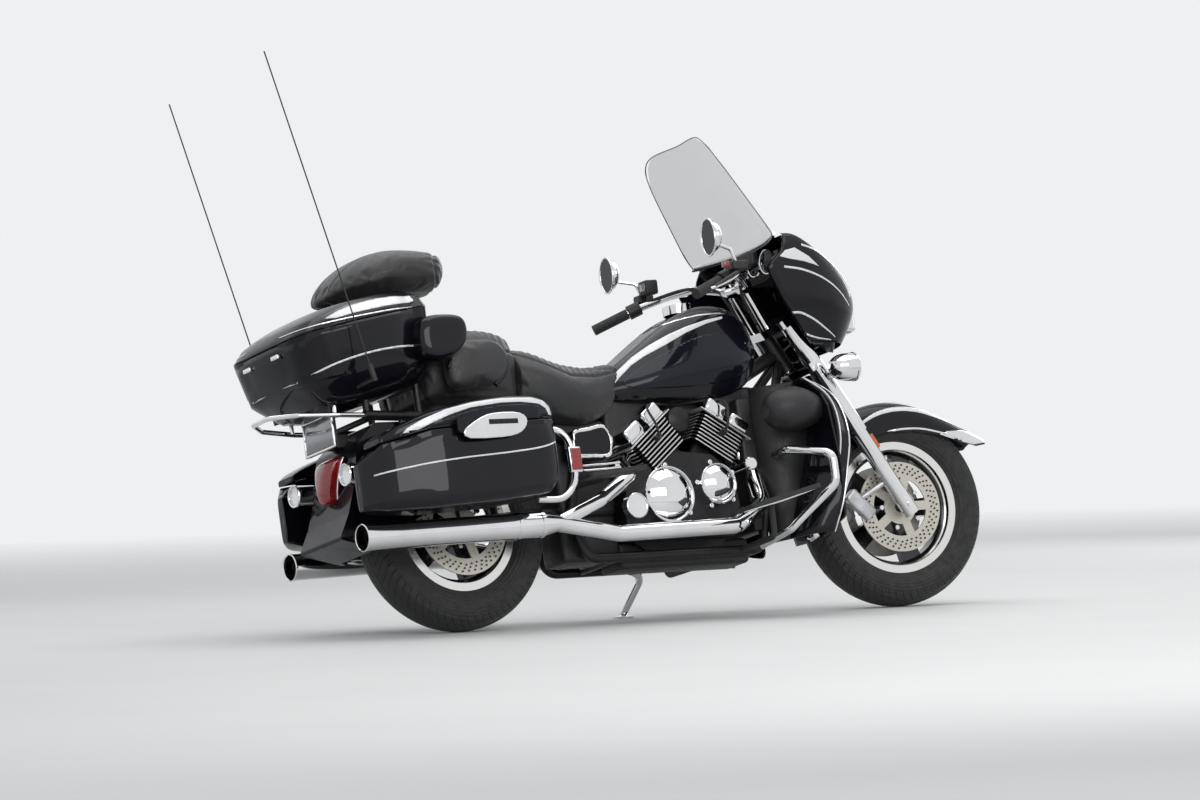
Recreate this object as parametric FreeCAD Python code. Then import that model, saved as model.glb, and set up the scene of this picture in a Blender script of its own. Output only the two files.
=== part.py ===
import FreeCAD, Part
import math
import os

V = FreeCAD.Vector

# Stance of the parked machine
WHEELBASE = 1705.0
LEAN_DEG = 12.0
STEER_REST_DEG = -8.4
RAKE_DEG = 30.5
FORK_OFFSET = 37.0
FIT_GAP = 0.3

# Tyres and rims
FRONT_TYRE_R = 323.0
FRONT_TYRE_HALF = 75.0
FRONT_CROWN_DROP = 23.0
FRONT_CROWN_HALF = 66.0
FRONT_BEAD_R = 203.0
FRONT_FLANGE_R = 218.0
REAR_TYRE_R = 325.5
REAR_TYRE_HALF = 75.0
REAR_CROWN_DROP = 20.0
REAR_CROWN_HALF = 65.0
REAR_BEAD_R = 190.5
REAR_FLANGE_R = 206.0
BEAD_HALF = 46.0
FLANGE_WIDTH = 6.0
RIM_WELL_DEPTH = 16.0
RIM_BAND = 10.0
RIM_WELL_HALF = 24.0
SPOKE_COUNT = 5
SPOKE_HALF_Y = 17.0
SPOKE_HUB_HALF = 24.0
SPOKE_RIM_HALF = 34.0
HUB_R = 46.0
AXLE_R = 10.0
AXLE_PLAY = 1.0

# Brake discs
FRONT_DISC_R = 149.0
REAR_DISC_R = 160.0
DISC_BAND = 52.0
DISC_THICK = 5.0
FRONT_DISC_Y = 70.0
REAR_DISC_Y = 78.0
DISC_BOLTS = 5
DISC_ARM_HALF = 15.0
DISC_HUB_R = 58.0

# Fork
FORK_HALF = 118.0
SLIDER_R = 27.0
SLIDER_TOP = 430.0
SLIDER_FOOT = 34.0
FORK_TUBE_R = 21.5
COVER_R = 31.0
COVER_FOOT = 438.0
LOW_CLAMP_AT = 560.0
TOP_CLAMP_AT = 728.0
CLAMP_THICK = 28.0
CLAMP_HALF_X = 34.0
STEM_R = 15.0
HEAD_TUBE_R = 30.0
HEAD_GAP = 3.0

# Handlebar
BAR_R = 12.7
GRIP_R = 17.5
BAR_CENTRE = V(1228.0, 0.0, 1082.0)
BAR_RISER_HALF = 52.0
BAR_SHOULDER = V(1150.0, 165.0, 1110.0)
BAR_BEND = V(1085.0, 270.0, 1098.0)
GRIP_INNER = V(1012.0, 338.0, 1074.0)
GRIP_END = V(895.0, 383.0, 1026.0)
MIRROR_AT = V(958.0, 385.0, 1203.0)
MIRROR_R = 52.0
MIRROR_THICK = 26.0

# Passing lamps
LAMP_AT = 505.0
LAMP_Y = 205.0
LAMP_R = 37.0

# Front fender
FENDER_R = 352.0
FENDER_HALF = 88.0
FENDER_WALL = 4.0
FENDER_SKIRT_R = 248.0
FENDER_REAR_DEG = 197.0
FENDER_FRONT_DEG = 62.0
FENDER_TIP_RUN = 215.0
FENDER_CROWN_R = 56.0
FENDER_STAY_AT = 268.0

# Engine
CRANK_AT = V(866.0, 0.0, 390.0)
CASE_HALF = 150.0
CASE_LOW_HALF = 107.7
FRONT_BANK_DEG = 33.0
REAR_BANK_DEG = -37.0
BANK_BASE = 105.0
FIN_START = 152.0
FIN_COUNT = 8
FIN_PITCH = 13.0
FIN_THICK = 4.0
FIN_HALF_LONG = 92.0
FIN_HALF_WIDE = 145.0
FIN_CORNER = 26.0
BARREL_HALF = 68.0
BARREL_HALF_WIDE = 118.0
HEAD_TOP = 262.0
COVER_SPREAD = 48.0
COVER_HALF = 37.0
COVER_TALL = 40.0
COVER_HALF_WIDE = 140.0

# Exhaust
MUFFLER_R = 42.0
MUFFLER_WALL = 3.0
MUFFLER_END_X = -459.0
MUFFLER_Y = 232.0
MUFFLER_END_Z = 272.0
MUFFLER_FRONT_Z = 288.0
MUFFLER_FRONT_X = 190.0
PIPE_R = 27.0

# Leg shields
SHIELD_X = 1300.0

# Guards
GUARD_R = 14.0

# Tank
TANK_SECTIONS = [
    # x, bottom, top, half, foot half
    (596.0, 722.0, 772.0, 62.0, 40.0),
    (700.0, 702.0, 846.0, 122.0, 96.0),
    (870.0, 694.0, 955.0, 160.0, 122.0),
    (1030.0, 700.0, 1014.0, 172.0, 126.0),
    (1140.0, 742.0, 996.0, 150.0, 108.0),
    (1202.0, 812.0, 938.0, 96.0, 66.0),
]
TANK_TUNNEL_HALF = 36.0

# Saddlebags
BAG_INNER_Y = 226.0
BAG_OUTER_Y = 412.0
BAG_WALL = 5.0
BAG_LID_WALL = 5.0
BAG_SEAM_GAP = 3.0
BAG_HINGE_Y = 219.0
BAG_HINGE_Z = 586.4
BAG_HINGE_SLOPE = 0.0475

# Trunk
TRUNK_WALL = 6.0
TRUNK_SEAM_GAP = 3.0
TRUNK_HINGE = V(-105.0, 0.0, 1001.0)
HINGE_R = 6.5
HINGE_PIN_R = 2.5
HINGE_PLAY = 0.08
HINGE_HALF = 18.0
HINGE_LEAF = 3.0

# Frame
RAIL_R = 16.0
RAIL_Y = 124.0
TAIL_RAIL_Y = 146.0
BACKBONE_R = 24.0

# Antennas
ANTENNA_FOOT = V(-388.0, 316.0, 756.0)
ANTENNA_TIP = V(-618.0, 316.0, 1804.0)
ANTENNA_R = 2.2

# Muffler hangers, behind the final drive
HANGER_X = -86.0

# Number plate
PLATE_HOLE_SPAN = 146.0
PLATE_HOLE_R = 3.4

# Stand
STAND_PIVOT = V(760.0, 172.0, 200.0)
STAND_FOOT = V(782.0, 285.0, 0.0)
STAND_KNEE = V(826.0, 202.0, 176.0)
STAND_R = 13.0
STAND_FOOT_THICK = 8.0
STAND_FOOT_R = 34.0
STAND_AXIS = V(0.0, 0.96, 0.28)
STAND_PIN_R = 8.0
STAND_EYE_R = 19.0
STAND_EYE_HALF = 11.0

WHEEL_FRONT = V(WHEELBASE, 0.0, FRONT_TYRE_R)
WHEEL_REAR = V(0.0, 0.0, REAR_TYRE_R)
RAKE = math.radians(RAKE_DEG)
STEER_DIR = V(-math.sin(RAKE), 0.0, math.cos(RAKE))
STEER_SIDE = V(math.cos(RAKE), 0.0, math.sin(RAKE))
STEER_AT = WHEEL_FRONT - STEER_SIDE * FORK_OFFSET
Y_AXIS = V(0.0, 1.0, 0.0)
NECK_AT = (LOW_CLAMP_AT + TOP_CLAMP_AT) / 2.0
NECK = STEER_AT + STEER_DIR * NECK_AT

# Round engine covers
ROUND_COVERS = [
    # x, z, radius, depth
    (728.0, 375.0, 91.0, 62.0),
    (927.0, 404.0, 66.0, 46.0),
    (600.0, 344.0, 40.0, 56.0),
]

# Cross tubes of the frame
CROSS_TUBES = [
    # x, z, half, radius
    (1080.0, 192.0, RAIL_Y, 11.0),
    (540.0, 188.0, RAIL_Y, 11.0),
    (440.0, 566.0, RAIL_Y, 14.0),
    (410.0, 262.0, RAIL_Y, 11.0),
    (-300.0, 674.0, TAIL_RAIL_Y, 10.0),
    (60.0, 668.0, TAIL_RAIL_Y, 8.0),
    (1060.0, 745.0, TANK_TUNNEL_HALF - FIT_GAP, 9.0),
]

# Seats
SEAT_SECTIONS = [
    # x, bottom, top, half, foot half
    (240.3, 702.0, 880.0, 172.0, 150.0),
    (310.0, 672.0, 868.0, 186.0, 150.0),
    (440.0, 628.0, 822.0, 184.0, 148.0),
    (560.0, 652.0, 815.0, 142.0, 120.0),
    (676.0, 770.0, 834.0, 84.0, 70.0),
]
PILLION_SECTIONS = [
    # x, bottom, top, half, foot half
    (-92.0, 720.0, 905.0, 140.0, 120.0),
    (20.0, 712.0, 932.0, 176.0, 150.0),
    (170.0, 706.0, 940.0, 178.0, 150.0),
    (240.0, 704.0, 922.0, 160.0, 140.0),
]

# Sections of a saddlebag and its lid
BAG_SECTIONS = [
    # x, bottom, seam, outer
    (-452.0, 352.0, 500.0, 262.0),
    (-400.0, 340.0, 545.0, 330.0),
    (-260.0, 335.0, 572.0, 395.0),
    (-20.0, 345.0, 585.0, 412.0),
    (150.0, 362.0, 592.0, 404.0),
    (196.0, 420.0, 594.0, 380.0),
]
BAG_LID_SECTIONS = [
    # x, seam, top, outer
    (-404.0, 545.0, 568.0, 328.0),
    (-260.0, 572.0, 628.0, 395.0),
    (-20.0, 585.0, 668.0, 412.0),
    (130.0, 591.0, 668.0, 406.0),
    (196.0, 594.0, 634.0, 378.0),
]

# Levels of the trunk and its lid
TRUNK_LEVELS = [
    # rear z, front z, rear x, front x, half, rear corner
    (706.0, 772.0, -480.0, -120.0, 180.0, 80.0),
    (776.0, 832.0, -560.0, -98.0, 250.0, 110.0),
    (915.0, 1000.0, -592.0, -112.0, 285.0, 130.0),
]
TRUNK_LID_LEVELS = [
    # rear z, front z, rear x, front x, half, rear corner
    (915.0, 1000.0, -592.0, -112.0, 285.0, 130.0),
    (960.0, 1040.0, -560.0, -130.0, 268.0, 120.0),
    (1010.0, 1066.0, -470.0, -170.0, 210.0, 90.0),
]

# Lower pods
POD_Y = 250.0
POD_Z = 624.0
POD_RINGS = [
    # x, radius
    (1098.0, 24.0),
    (1126.0, 56.0),
    (1180.0, 74.0),
    (1240.0, 68.0),
    (SHIELD_X - 8.0 - FIT_GAP, 46.0),
]

# Fairing and windshield
FAIRING_SECTIONS = [
    # z, rear x, nose x, half
    (830.0, 1420.0, 1500.0, 152.0),
    (880.0, 1350.0, 1528.0, 184.0),
    (925.0, 1302.0, 1562.0, 205.0),
    (1000.0, 1240.0, 1570.0, 236.0),
    (1100.0, 1180.0, 1505.0, 256.0),
    (1170.0, 1152.0, 1410.0, 262.0),
    (1205.0, 1170.0, 1332.0, 250.0),
]
FAIRING_WALL = 5.0
SHIELD_LOW = (1206.0, 1306.0, 250.0, 480.0)
SHIELD_HIGH = (1575.0, 1078.0, 250.0, 460.0)
SHIELD_THICK = 4.0
SHIELD_OUTLINE = [
    # y, z
    (-242.0, 1206.0),
    (-242.0, 1250.0),
    (-205.0, 1470.0),
    (-150.0, 1568.0),
    (150.0, 1568.0),
    (205.0, 1470.0),
    (242.0, 1250.0),
    (242.0, 1206.0),
]
BAR_NOTCH = [
    # x, z
    (1080.0, 1108.0),
    (1206.0, 1120.0),
    (1250.0, 1154.0),
    (1266.0, 1199.9),
    (1266.0, 1260.0),
    (1080.0, 1260.0),
]
BAR_NOTCH_HALF = 140.0
FORK_SWEEP_R = 168.0


def mirrored(shape):
    return shape.mirror(V(0.0, 0.0, 0.0), Y_AXIS)


def both(shape):
    return [shape, mirrored(shape)]


def merge(shapes):
    first = shapes[0]
    if len(shapes) == 1:
        return first
    return first.multiFuse(shapes[1:]).removeSplitter()


def cut_all(shape, tools):
    return shape.cut(merge(tools))


def cylinder(start, end, radius):
    run = end - start
    return Part.makeCylinder(radius, run.Length, start, run)


def cone(start, end, start_r, end_r):
    run = end - start
    return Part.makeCone(start_r, end_r, run.Length, start, run)


def ball(centre, radius):
    return Part.makeSphere(radius, centre)


def ellipsoid(centre, half_x, half_y, half_z):
    body = Part.makeSphere(1.0)
    scale = FreeCAD.Matrix()
    scale.scale(half_x, half_y, half_z)
    body = body.transformGeometry(scale)
    body.translate(centre)
    return body


def block(low, high):
    size = high - low
    return Part.makeBox(size.x, size.y, size.z, low)


def corner_edges(points, radii, closed):
    count = len(points)
    starts = []
    ends = []
    arcs = []
    for index in range(count):
        here = points[index]
        radius = radii[index]
        if not closed and index in (0, count - 1):
            radius = 0.0
        if radius <= 0.0:
            starts.append(here)
            ends.append(here)
            arcs.append(None)
            continue
        back = (points[index - 1] - here).normalize()
        ahead = (points[(index + 1) % count] - here).normalize()
        opening = back.getAngle(ahead) / 2.0
        reach = radius / math.tan(opening)
        middle_dir = (back + ahead).normalize()
        centre = here + middle_dir * (radius / math.sin(opening))
        starts.append(here + back * reach)
        ends.append(here + ahead * reach)
        arcs.append(centre - middle_dir * radius)
    edges = []
    last = count if closed else count - 1
    for index in range(count):
        if arcs[index] is not None:
            arc = Part.Arc(starts[index], arcs[index], ends[index])
            edges.append(arc.toShape())
        if index < last:
            following = starts[(index + 1) % count]
            if (following - ends[index]).Length > 1e-4:
                edges.append(Part.makeLine(ends[index], following))
    return edges


def closed_wire(points, radii):
    if not isinstance(radii, (list, tuple)):
        radii = [radii] * len(points)
    return Part.Wire(Part.__sortEdges__(corner_edges(points, radii, True)))


def plate(points, radii, thickness):
    face = Part.Face(closed_wire(points, radii))
    return face.extrude(thickness)


def side_plate(outline, radii, y_low, y_high):
    points = [V(x, y_low, z) for x, z in outline]
    return plate(points, radii, V(0.0, y_high - y_low, 0.0))


def tube(points, radius, bend):
    edges = corner_edges(points, [bend] * len(points), False)
    path = Part.Wire(edges)
    run = points[1] - points[0]
    ring = Part.Wire(Part.makeCircle(radius, points[0], run))
    return path.makePipeShell([ring], True, True)


def loft(wires, ruled=False):
    return Part.makeLoft(wires, True, ruled)


def spin_y(points, arcs, centre):
    edges = []
    count = len(points)
    for index in range(count):
        start = points[index]
        end = points[(index + 1) % count]
        middle = arcs.get(index)
        if middle is None:
            edges.append(Part.makeLine(start, end))
        else:
            edges.append(Part.Arc(start, middle, end).toShape())
    face = Part.Face(Part.Wire(edges))
    ring = face.revolve(V(0.0, 0.0, 0.0), Y_AXIS, 360.0)
    ring.translate(centre)
    return ring


def tyre(centre, outer_r, half, drop, crown_half, bead_r, flange_r):
    seat_r = bead_r + FIT_GAP
    lip_r = flange_r + FIT_GAP
    inner = BEAD_HALF - FIT_GAP
    outer = BEAD_HALF + FLANGE_WIDTH
    shoulder_r = outer_r - drop
    wall_r = (lip_r + shoulder_r) / 2.0
    points = [
        V(seat_r, -inner, 0.0),
        V(seat_r, inner, 0.0),
        V(lip_r, inner, 0.0),
        V(lip_r, outer, 0.0),
        V(shoulder_r, crown_half, 0.0),
        V(shoulder_r, -crown_half, 0.0),
        V(lip_r, -outer, 0.0),
        V(lip_r, -inner, 0.0),
    ]
    arcs = {
        3: V(wall_r, half, 0.0),
        4: V(outer_r, 0.0, 0.0),
        5: V(wall_r, -half, 0.0),
    }
    return spin_y(points, arcs, centre)


def rim_band(centre, bead_r, flange_r):
    outer = BEAD_HALF + FLANGE_WIDTH
    well_r = bead_r - RIM_WELL_DEPTH
    half = [
        (flange_r, outer),
        (bead_r - RIM_BAND, outer),
        (bead_r - RIM_BAND, RIM_WELL_HALF + RIM_BAND),
        (well_r - RIM_BAND, RIM_WELL_HALF),
    ]
    inside = [
        (well_r, RIM_WELL_HALF),
        (bead_r, RIM_WELL_HALF + RIM_BAND),
        (bead_r, BEAD_HALF),
        (flange_r, BEAD_HALF),
    ]
    ring = half + [(r, -y) for r, y in reversed(half)]
    ring += [(r, -y) for r, y in reversed(inside)]
    ring += inside
    return spin_y([V(r, y, 0.0) for r, y in ring], {}, centre)


def wheel_rim(centre, bead_r, flange_r, hub_right, hub_left):
    band = rim_band(centre, bead_r, flange_r)
    spoke_end = bead_r - RIM_WELL_DEPTH - RIM_BAND + 2.0
    spoke_start = HUB_R - 6.0
    spokes = []
    for index in range(SPOKE_COUNT):
        outline = [
            V(spoke_start, -SPOKE_HALF_Y, -SPOKE_HUB_HALF),
            V(spoke_end, -SPOKE_HALF_Y, -SPOKE_RIM_HALF),
            V(spoke_end, -SPOKE_HALF_Y, SPOKE_RIM_HALF),
            V(spoke_start, -SPOKE_HALF_Y, SPOKE_HUB_HALF),
        ]
        arm = plate(outline, 0.0, V(0.0, 2.0 * SPOKE_HALF_Y, 0.0))
        arm.rotate(V(0.0, 0.0, 0.0), Y_AXIS, index * 360.0 / SPOKE_COUNT)
        arm.translate(centre)
        spokes.append(arm)
    hub_low = centre + V(0.0, hub_right, 0.0)
    hub_high = centre + V(0.0, hub_left, 0.0)
    hub = cylinder(hub_low, hub_high, HUB_R)
    bore = cylinder(hub_low, hub_high, AXLE_R + AXLE_PLAY)
    return merge([band, hub] + spokes).cut(bore)


def brake_disc(centre, radius, y_mid):
    low = centre + V(0.0, y_mid - DISC_THICK / 2.0, 0.0)
    high = centre + V(0.0, y_mid + DISC_THICK / 2.0, 0.0)
    ring = cylinder(low, high, radius)
    ring = ring.cut(cylinder(low, high, radius - DISC_BAND))
    pieces = [ring, cylinder(low, high, DISC_HUB_R)]
    for index in range(DISC_BOLTS):
        arm = block(
            V(DISC_HUB_R - 8.0, 0.0, -DISC_ARM_HALF),
            V(radius - DISC_BAND + 4.0, DISC_THICK, DISC_ARM_HALF),
        )
        arm.rotate(V(0.0, 0.0, 0.0), Y_AXIS, index * 360.0 / DISC_BOLTS)
        arm.translate(low)
        pieces.append(arm)
    disc = merge(pieces)
    return disc.cut(cylinder(low, high, AXLE_R + AXLE_PLAY + 8.0))


def steer_point(along, ahead, y):
    return STEER_AT + STEER_DIR * along + STEER_SIDE * ahead + V(0.0, y, 0.0)


def steered(shape):
    turned = shape.copy()
    turned.rotate(STEER_AT, STEER_DIR, STEER_REST_DEG)
    return turned


def make_fork():
    pieces = []
    for side in (-1.0, 1.0):
        y = side * FORK_HALF
        foot = steer_point(-SLIDER_FOOT, FORK_OFFSET, y)
        top = steer_point(SLIDER_TOP, FORK_OFFSET, y)
        pieces.append(cylinder(foot, top, SLIDER_R))
        upper = steer_point(TOP_CLAMP_AT + CLAMP_THICK / 2.0, FORK_OFFSET, y)
        pieces.append(cylinder(top, upper, FORK_TUBE_R))
    for along in (LOW_CLAMP_AT, TOP_CLAMP_AT):
        yoke = [
            steer_point(along - CLAMP_THICK / 2.0, -CLAMP_HALF_X, -62.0),
            steer_point(along - CLAMP_THICK / 2.0, 6.0, -FORK_HALF - 29.0),
            steer_point(along - CLAMP_THICK / 2.0, FORK_OFFSET + 29.0, -FORK_HALF - 29.0),
            steer_point(along - CLAMP_THICK / 2.0, FORK_OFFSET + 29.0, FORK_HALF + 29.0),
            steer_point(along - CLAMP_THICK / 2.0, 6.0, FORK_HALF + 29.0),
            steer_point(along - CLAMP_THICK / 2.0, -CLAMP_HALF_X, 62.0),
        ]
        pieces.append(plate(yoke, [14.0, 14.0, 27.0, 27.0, 14.0, 14.0], STEER_DIR * CLAMP_THICK))
    stem_low = steer_point(LOW_CLAMP_AT, 0.0, 0.0)
    stem_top = steer_point(TOP_CLAMP_AT, 0.0, 0.0)
    pieces.append(cylinder(stem_low, stem_top, STEM_R))
    axle_half = FORK_HALF + SLIDER_R + 4.0
    axle_low = WHEEL_FRONT - V(0.0, axle_half, 0.0)
    axle_high = WHEEL_FRONT + V(0.0, axle_half, 0.0)
    pieces.append(cylinder(axle_low, axle_high, AXLE_R))
    return merge(pieces)


def make_fork_covers():
    covers = []
    for side in (-1.0, 1.0):
        y = side * FORK_HALF
        low = steer_point(COVER_FOOT, FORK_OFFSET, y)
        high = steer_point(LOW_CLAMP_AT - CLAMP_THICK / 2.0 - 1.0, FORK_OFFSET, y)
        shell = cylinder(low, high, COVER_R)
        bore = cylinder(low, high, FORK_TUBE_R + FIT_GAP)
        covers.append(shell.cut(bore))
        low = steer_point(LOW_CLAMP_AT + CLAMP_THICK / 2.0 + 1.0, FORK_OFFSET, y)
        high = steer_point(TOP_CLAMP_AT - CLAMP_THICK / 2.0 - 1.0, FORK_OFFSET, y)
        shell = cone(low, high, COVER_R, COVER_R - 3.0)
        bore = cylinder(low, high, FORK_TUBE_R + FIT_GAP)
        covers.append(shell.cut(bore))
    return Part.makeCompound(covers)


def fender_section(grow, half, skirt_r):
    crown_r = FENDER_CROWN_R
    outer = FENDER_R - grow
    points = [
        V(skirt_r, -half, 0.0),
        V(outer, -half, 0.0),
        V(outer, half, 0.0),
        V(skirt_r, half, 0.0),
    ]
    return points, [0.0, crown_r - grow, crown_r - grow, 0.0]


def fender_solid(grow, half, skirt_r):
    points, radii = fender_section(grow, half, skirt_r)
    face = Part.Face(closed_wire(points, radii))
    face.rotate(V(0.0, 0.0, 0.0), Y_AXIS, -FENDER_FRONT_DEG)
    sweep = face.revolve(V(0.0, 0.0, 0.0), Y_AXIS, FENDER_FRONT_DEG - FENDER_REAR_DEG)
    front = math.radians(FENDER_FRONT_DEG)
    ahead = V(math.sin(front), 0.0, -math.cos(front))
    tip = face.extrude(ahead * FENDER_TIP_RUN)
    body = merge([sweep, tip])
    body.translate(WHEEL_FRONT)
    return body


def make_front_fender():
    skin = fender_solid(0.0, FENDER_HALF, FENDER_SKIRT_R)
    hollow = fender_solid(FENDER_WALL, FENDER_HALF - FENDER_WALL, FENDER_SKIRT_R - 10.0)
    skin = skin.cut(hollow)
    outline = [
        (1318.0, 226.0), (1372.0, 226.0), (1462.0, 292.0), (1470.0, 400.0),
        (1540.0, 500.0), (1660.0, 558.0), (1784.0, 568.0), (1880.0, 548.0),
        (2010.0, 506.0), (2075.0, 515.0), (2075.0, 720.0), (1318.0, 720.0),
    ]
    radii = [0.0, 0.0, 12.0, 60.0, 90.0, 90.0, 90.0, 60.0, 0.0, 0.0, 0.0, 0.0]
    keep = side_plate(outline, radii, -FENDER_HALF - 1.0, FENDER_HALF + 1.0)
    skin = skin.common(keep)
    stays = []
    for side in (-1.0, 1.0):
        inner = steer_point(FENDER_STAY_AT, FORK_OFFSET, side * (FENDER_HALF - FENDER_WALL))
        outer = steer_point(FENDER_STAY_AT, FORK_OFFSET, side * (FORK_HALF - SLIDER_R - FIT_GAP))
        stays.append(cylinder(inner, outer, 14.0))
    return merge([skin] + stays)


def make_calipers():
    pieces = []
    for side in (-1.0, 1.0):
        body = Part.makeBox(112.0, 33.0, 50.0, V(-56.0, -13.0, -25.0))
        body = body.makeFillet(10.0, body.Edges)
        body.rotate(V(0.0, 0.0, 0.0), Y_AXIS, 90.0 - RAKE_DEG - 14.0)
        if side < 0.0:
            body = mirrored(body)
        body.translate(steer_point(88.0, -84.0, side * FRONT_DISC_Y))
        slot = cylinder(
            WHEEL_FRONT + V(0.0, side * FRONT_DISC_Y - DISC_THICK, 0.0),
            WHEEL_FRONT + V(0.0, side * FRONT_DISC_Y + DISC_THICK, 0.0),
            FRONT_DISC_R + 6.0,
        )
        arm = cylinder(
            steer_point(104.0, -66.0, side * (FRONT_DISC_Y + 13.0)),
            steer_point(104.0, FORK_OFFSET, side * FORK_HALF),
            9.0,
        )
        leg_low = steer_point(0.0, FORK_OFFSET, side * FORK_HALF)
        leg_top = steer_point(SLIDER_TOP, FORK_OFFSET, side * FORK_HALF)
        leg = cylinder(leg_low, leg_top, SLIDER_R + FIT_GAP)
        pieces.append(merge([body.cut(slot), arm]).cut(leg))
    return Part.makeCompound(pieces)


def bar_path(side):
    return [
        V(BAR_CENTRE.x, 0.0, BAR_CENTRE.z),
        V(BAR_CENTRE.x, side * 70.0, BAR_CENTRE.z),
        V(BAR_SHOULDER.x, side * BAR_SHOULDER.y, BAR_SHOULDER.z),
        V(BAR_BEND.x, side * BAR_BEND.y, BAR_BEND.z),
        V(GRIP_INNER.x, side * GRIP_INNER.y, GRIP_INNER.z),
        V(GRIP_END.x, side * GRIP_END.y, GRIP_END.z),
    ]


def make_handlebar(fork):
    pieces = []
    for side in (-1.0, 1.0):
        pieces.append(tube(bar_path(side), BAR_R, 45.0))
        top = V(BAR_CENTRE.x, side * BAR_RISER_HALF, BAR_CENTRE.z)
        base = steer_point(TOP_CLAMP_AT + CLAMP_THICK / 2.0 + FIT_GAP, 0.0, side * BAR_RISER_HALF)
        pieces.append(cylinder(base, top, 15.0))
        pieces.append(cylinder(top - V(0.0, 16.0, 0.0), top + V(0.0, 16.0, 0.0), 24.0))
    return merge(pieces).cut(fork)


def make_grips():
    grips = []
    run = (GRIP_INNER - GRIP_END).normalize()
    for side in (-1.0, 1.0):
        start = GRIP_END - run * 14.0
        end = GRIP_END + run * 112.0
        low = V(start.x, side * start.y, start.z)
        high = V(end.x, side * end.y, end.z)
        grip = cylinder(low, high, GRIP_R)
        inner = GRIP_END - run * 1.0
        core = cylinder(V(inner.x, side * inner.y, inner.z), high, BAR_R + FIT_GAP)
        grips.append(grip.cut(core))
    return Part.makeCompound(grips)


def make_hand_controls():
    pieces = []
    run = (GRIP_INNER - GRIP_END).normalize()
    for side in (-1.0, 1.0):
        start = GRIP_END + run * 116.0
        end = GRIP_END + run * 158.0
        low = V(start.x, side * start.y, start.z)
        high = V(end.x, side * end.y, end.z)
        clamp = cylinder(low, high, 24.0)
        pivot = V(1062.0, side * 352.0, 1094.0)
        reservoir = block(pivot + V(-28.0, -26.0, 2.0), pivot + V(26.0, 26.0, 32.0))
        reservoir = reservoir.makeFillet(7.0, reservoir.Edges)
        bridge = cylinder(V(high.x, high.y, high.z), pivot, 11.0)
        lever = tube(
            [pivot, V(1020.0, side * 410.0, 1078.0), V(930.0, side * 432.0, 1034.0)],
            6.5,
            30.0,
        )
        bar = tube(bar_path(side), BAR_R + FIT_GAP, 45.0)
        pieces.append(merge([clamp, reservoir, bridge, lever]).cut(bar))
    return Part.makeCompound(pieces)


def make_mirrors(controls):
    pieces = []
    for side in (-1.0, 1.0):
        centre = V(MIRROR_AT.x, side * MIRROR_AT.y, MIRROR_AT.z)
        shell = ellipsoid(centre, MIRROR_THICK, MIRROR_R * 1.25, MIRROR_R)
        trim = block(centre - V(60.0, 100.0, 100.0), centre - V(7.0, -100.0, -100.0))
        shell = shell.cut(trim)
        stem = tube(
            [
                V(1060.0, side * 352.0, 1112.0),
                V(1040.0, side * 356.0, 1165.0),
                centre + V(12.0, 0.0, -20.0),
            ],
            6.0,
            20.0,
        )
        pieces.append(merge([shell, stem]))
    return Part.makeCompound(pieces).cut(controls)


def make_passing_lamps():
    pieces = []
    for side in (-1.0, 1.0):
        root = steer_point(LAMP_AT, FORK_OFFSET + COVER_R - 4.0, side * FORK_HALF)
        centre = steer_point(LAMP_AT, FORK_OFFSET + COVER_R + 12.0, side * LAMP_Y)
        stalk = cylinder(root, centre, 9.0)
        sleeve_low = steer_point(LAMP_AT - 16.0, FORK_OFFSET, side * FORK_HALF)
        sleeve_top = steer_point(LAMP_AT + 16.0, FORK_OFFSET, side * FORK_HALF)
        sleeve = cylinder(sleeve_low, sleeve_top, COVER_R + 5.0)
        hole = cylinder(sleeve_low, sleeve_top, COVER_R + FIT_GAP)
        rear = centre + V(-26.0, 0.0, 0.0)
        front = centre + V(30.0, 0.0, 0.0)
        lamp = cylinder(rear, front, LAMP_R)
        tail = cone(rear - V(22.0, 0.0, 0.0), rear, LAMP_R * 0.5, LAMP_R)
        pieces.append(merge([sleeve, stalk, lamp, tail]).cut(hole))
    return Part.makeCompound(pieces)


def bank_frame(angle_deg):
    angle = math.radians(angle_deg)
    up = V(math.sin(angle), 0.0, math.cos(angle))
    along = V(math.cos(angle), 0.0, -math.sin(angle))
    return up, along


def bank_block(up, along, start, end, half_long, half_wide, radius):
    base = CRANK_AT + up * start
    corners = [
        base - along * half_long - V(0.0, half_wide, 0.0),
        base + along * half_long - V(0.0, half_wide, 0.0),
        base + along * half_long + V(0.0, half_wide, 0.0),
        base - along * half_long + V(0.0, half_wide, 0.0),
    ]
    return plate(corners, radius, up * (end - start))


def make_cylinders(angle_deg):
    up, along = bank_frame(angle_deg)
    pieces = [bank_block(up, along, BANK_BASE, HEAD_TOP, BARREL_HALF, BARREL_HALF_WIDE, 20.0)]
    for index in range(FIN_COUNT):
        start = FIN_START + index * FIN_PITCH
        fin = bank_block(
            up, along, start, start + FIN_THICK, FIN_HALF_LONG, FIN_HALF_WIDE, FIN_CORNER
        )
        pieces.append(fin)
    return merge(pieces)


def make_head_covers():
    covers = []
    for angle in (FRONT_BANK_DEG, REAR_BANK_DEG):
        up, along = bank_frame(angle)
        for spread in (-COVER_SPREAD, COVER_SPREAD):
            base = CRANK_AT + up * (HEAD_TOP + FIT_GAP) + along * spread
            corner = [
                base - along * COVER_HALF,
                base + along * COVER_HALF,
                base + along * COVER_HALF * 0.82 + up * COVER_TALL,
                base - along * COVER_HALF * 0.82 + up * COVER_TALL,
            ]
            corner = [point - V(0.0, COVER_HALF_WIDE, 0.0) for point in corner]
            covers.append(plate(corner, [0.0, 0.0, 12.0, 12.0], V(0.0, 2.0 * COVER_HALF_WIDE, 0.0)))
    return Part.makeCompound(covers)


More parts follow.
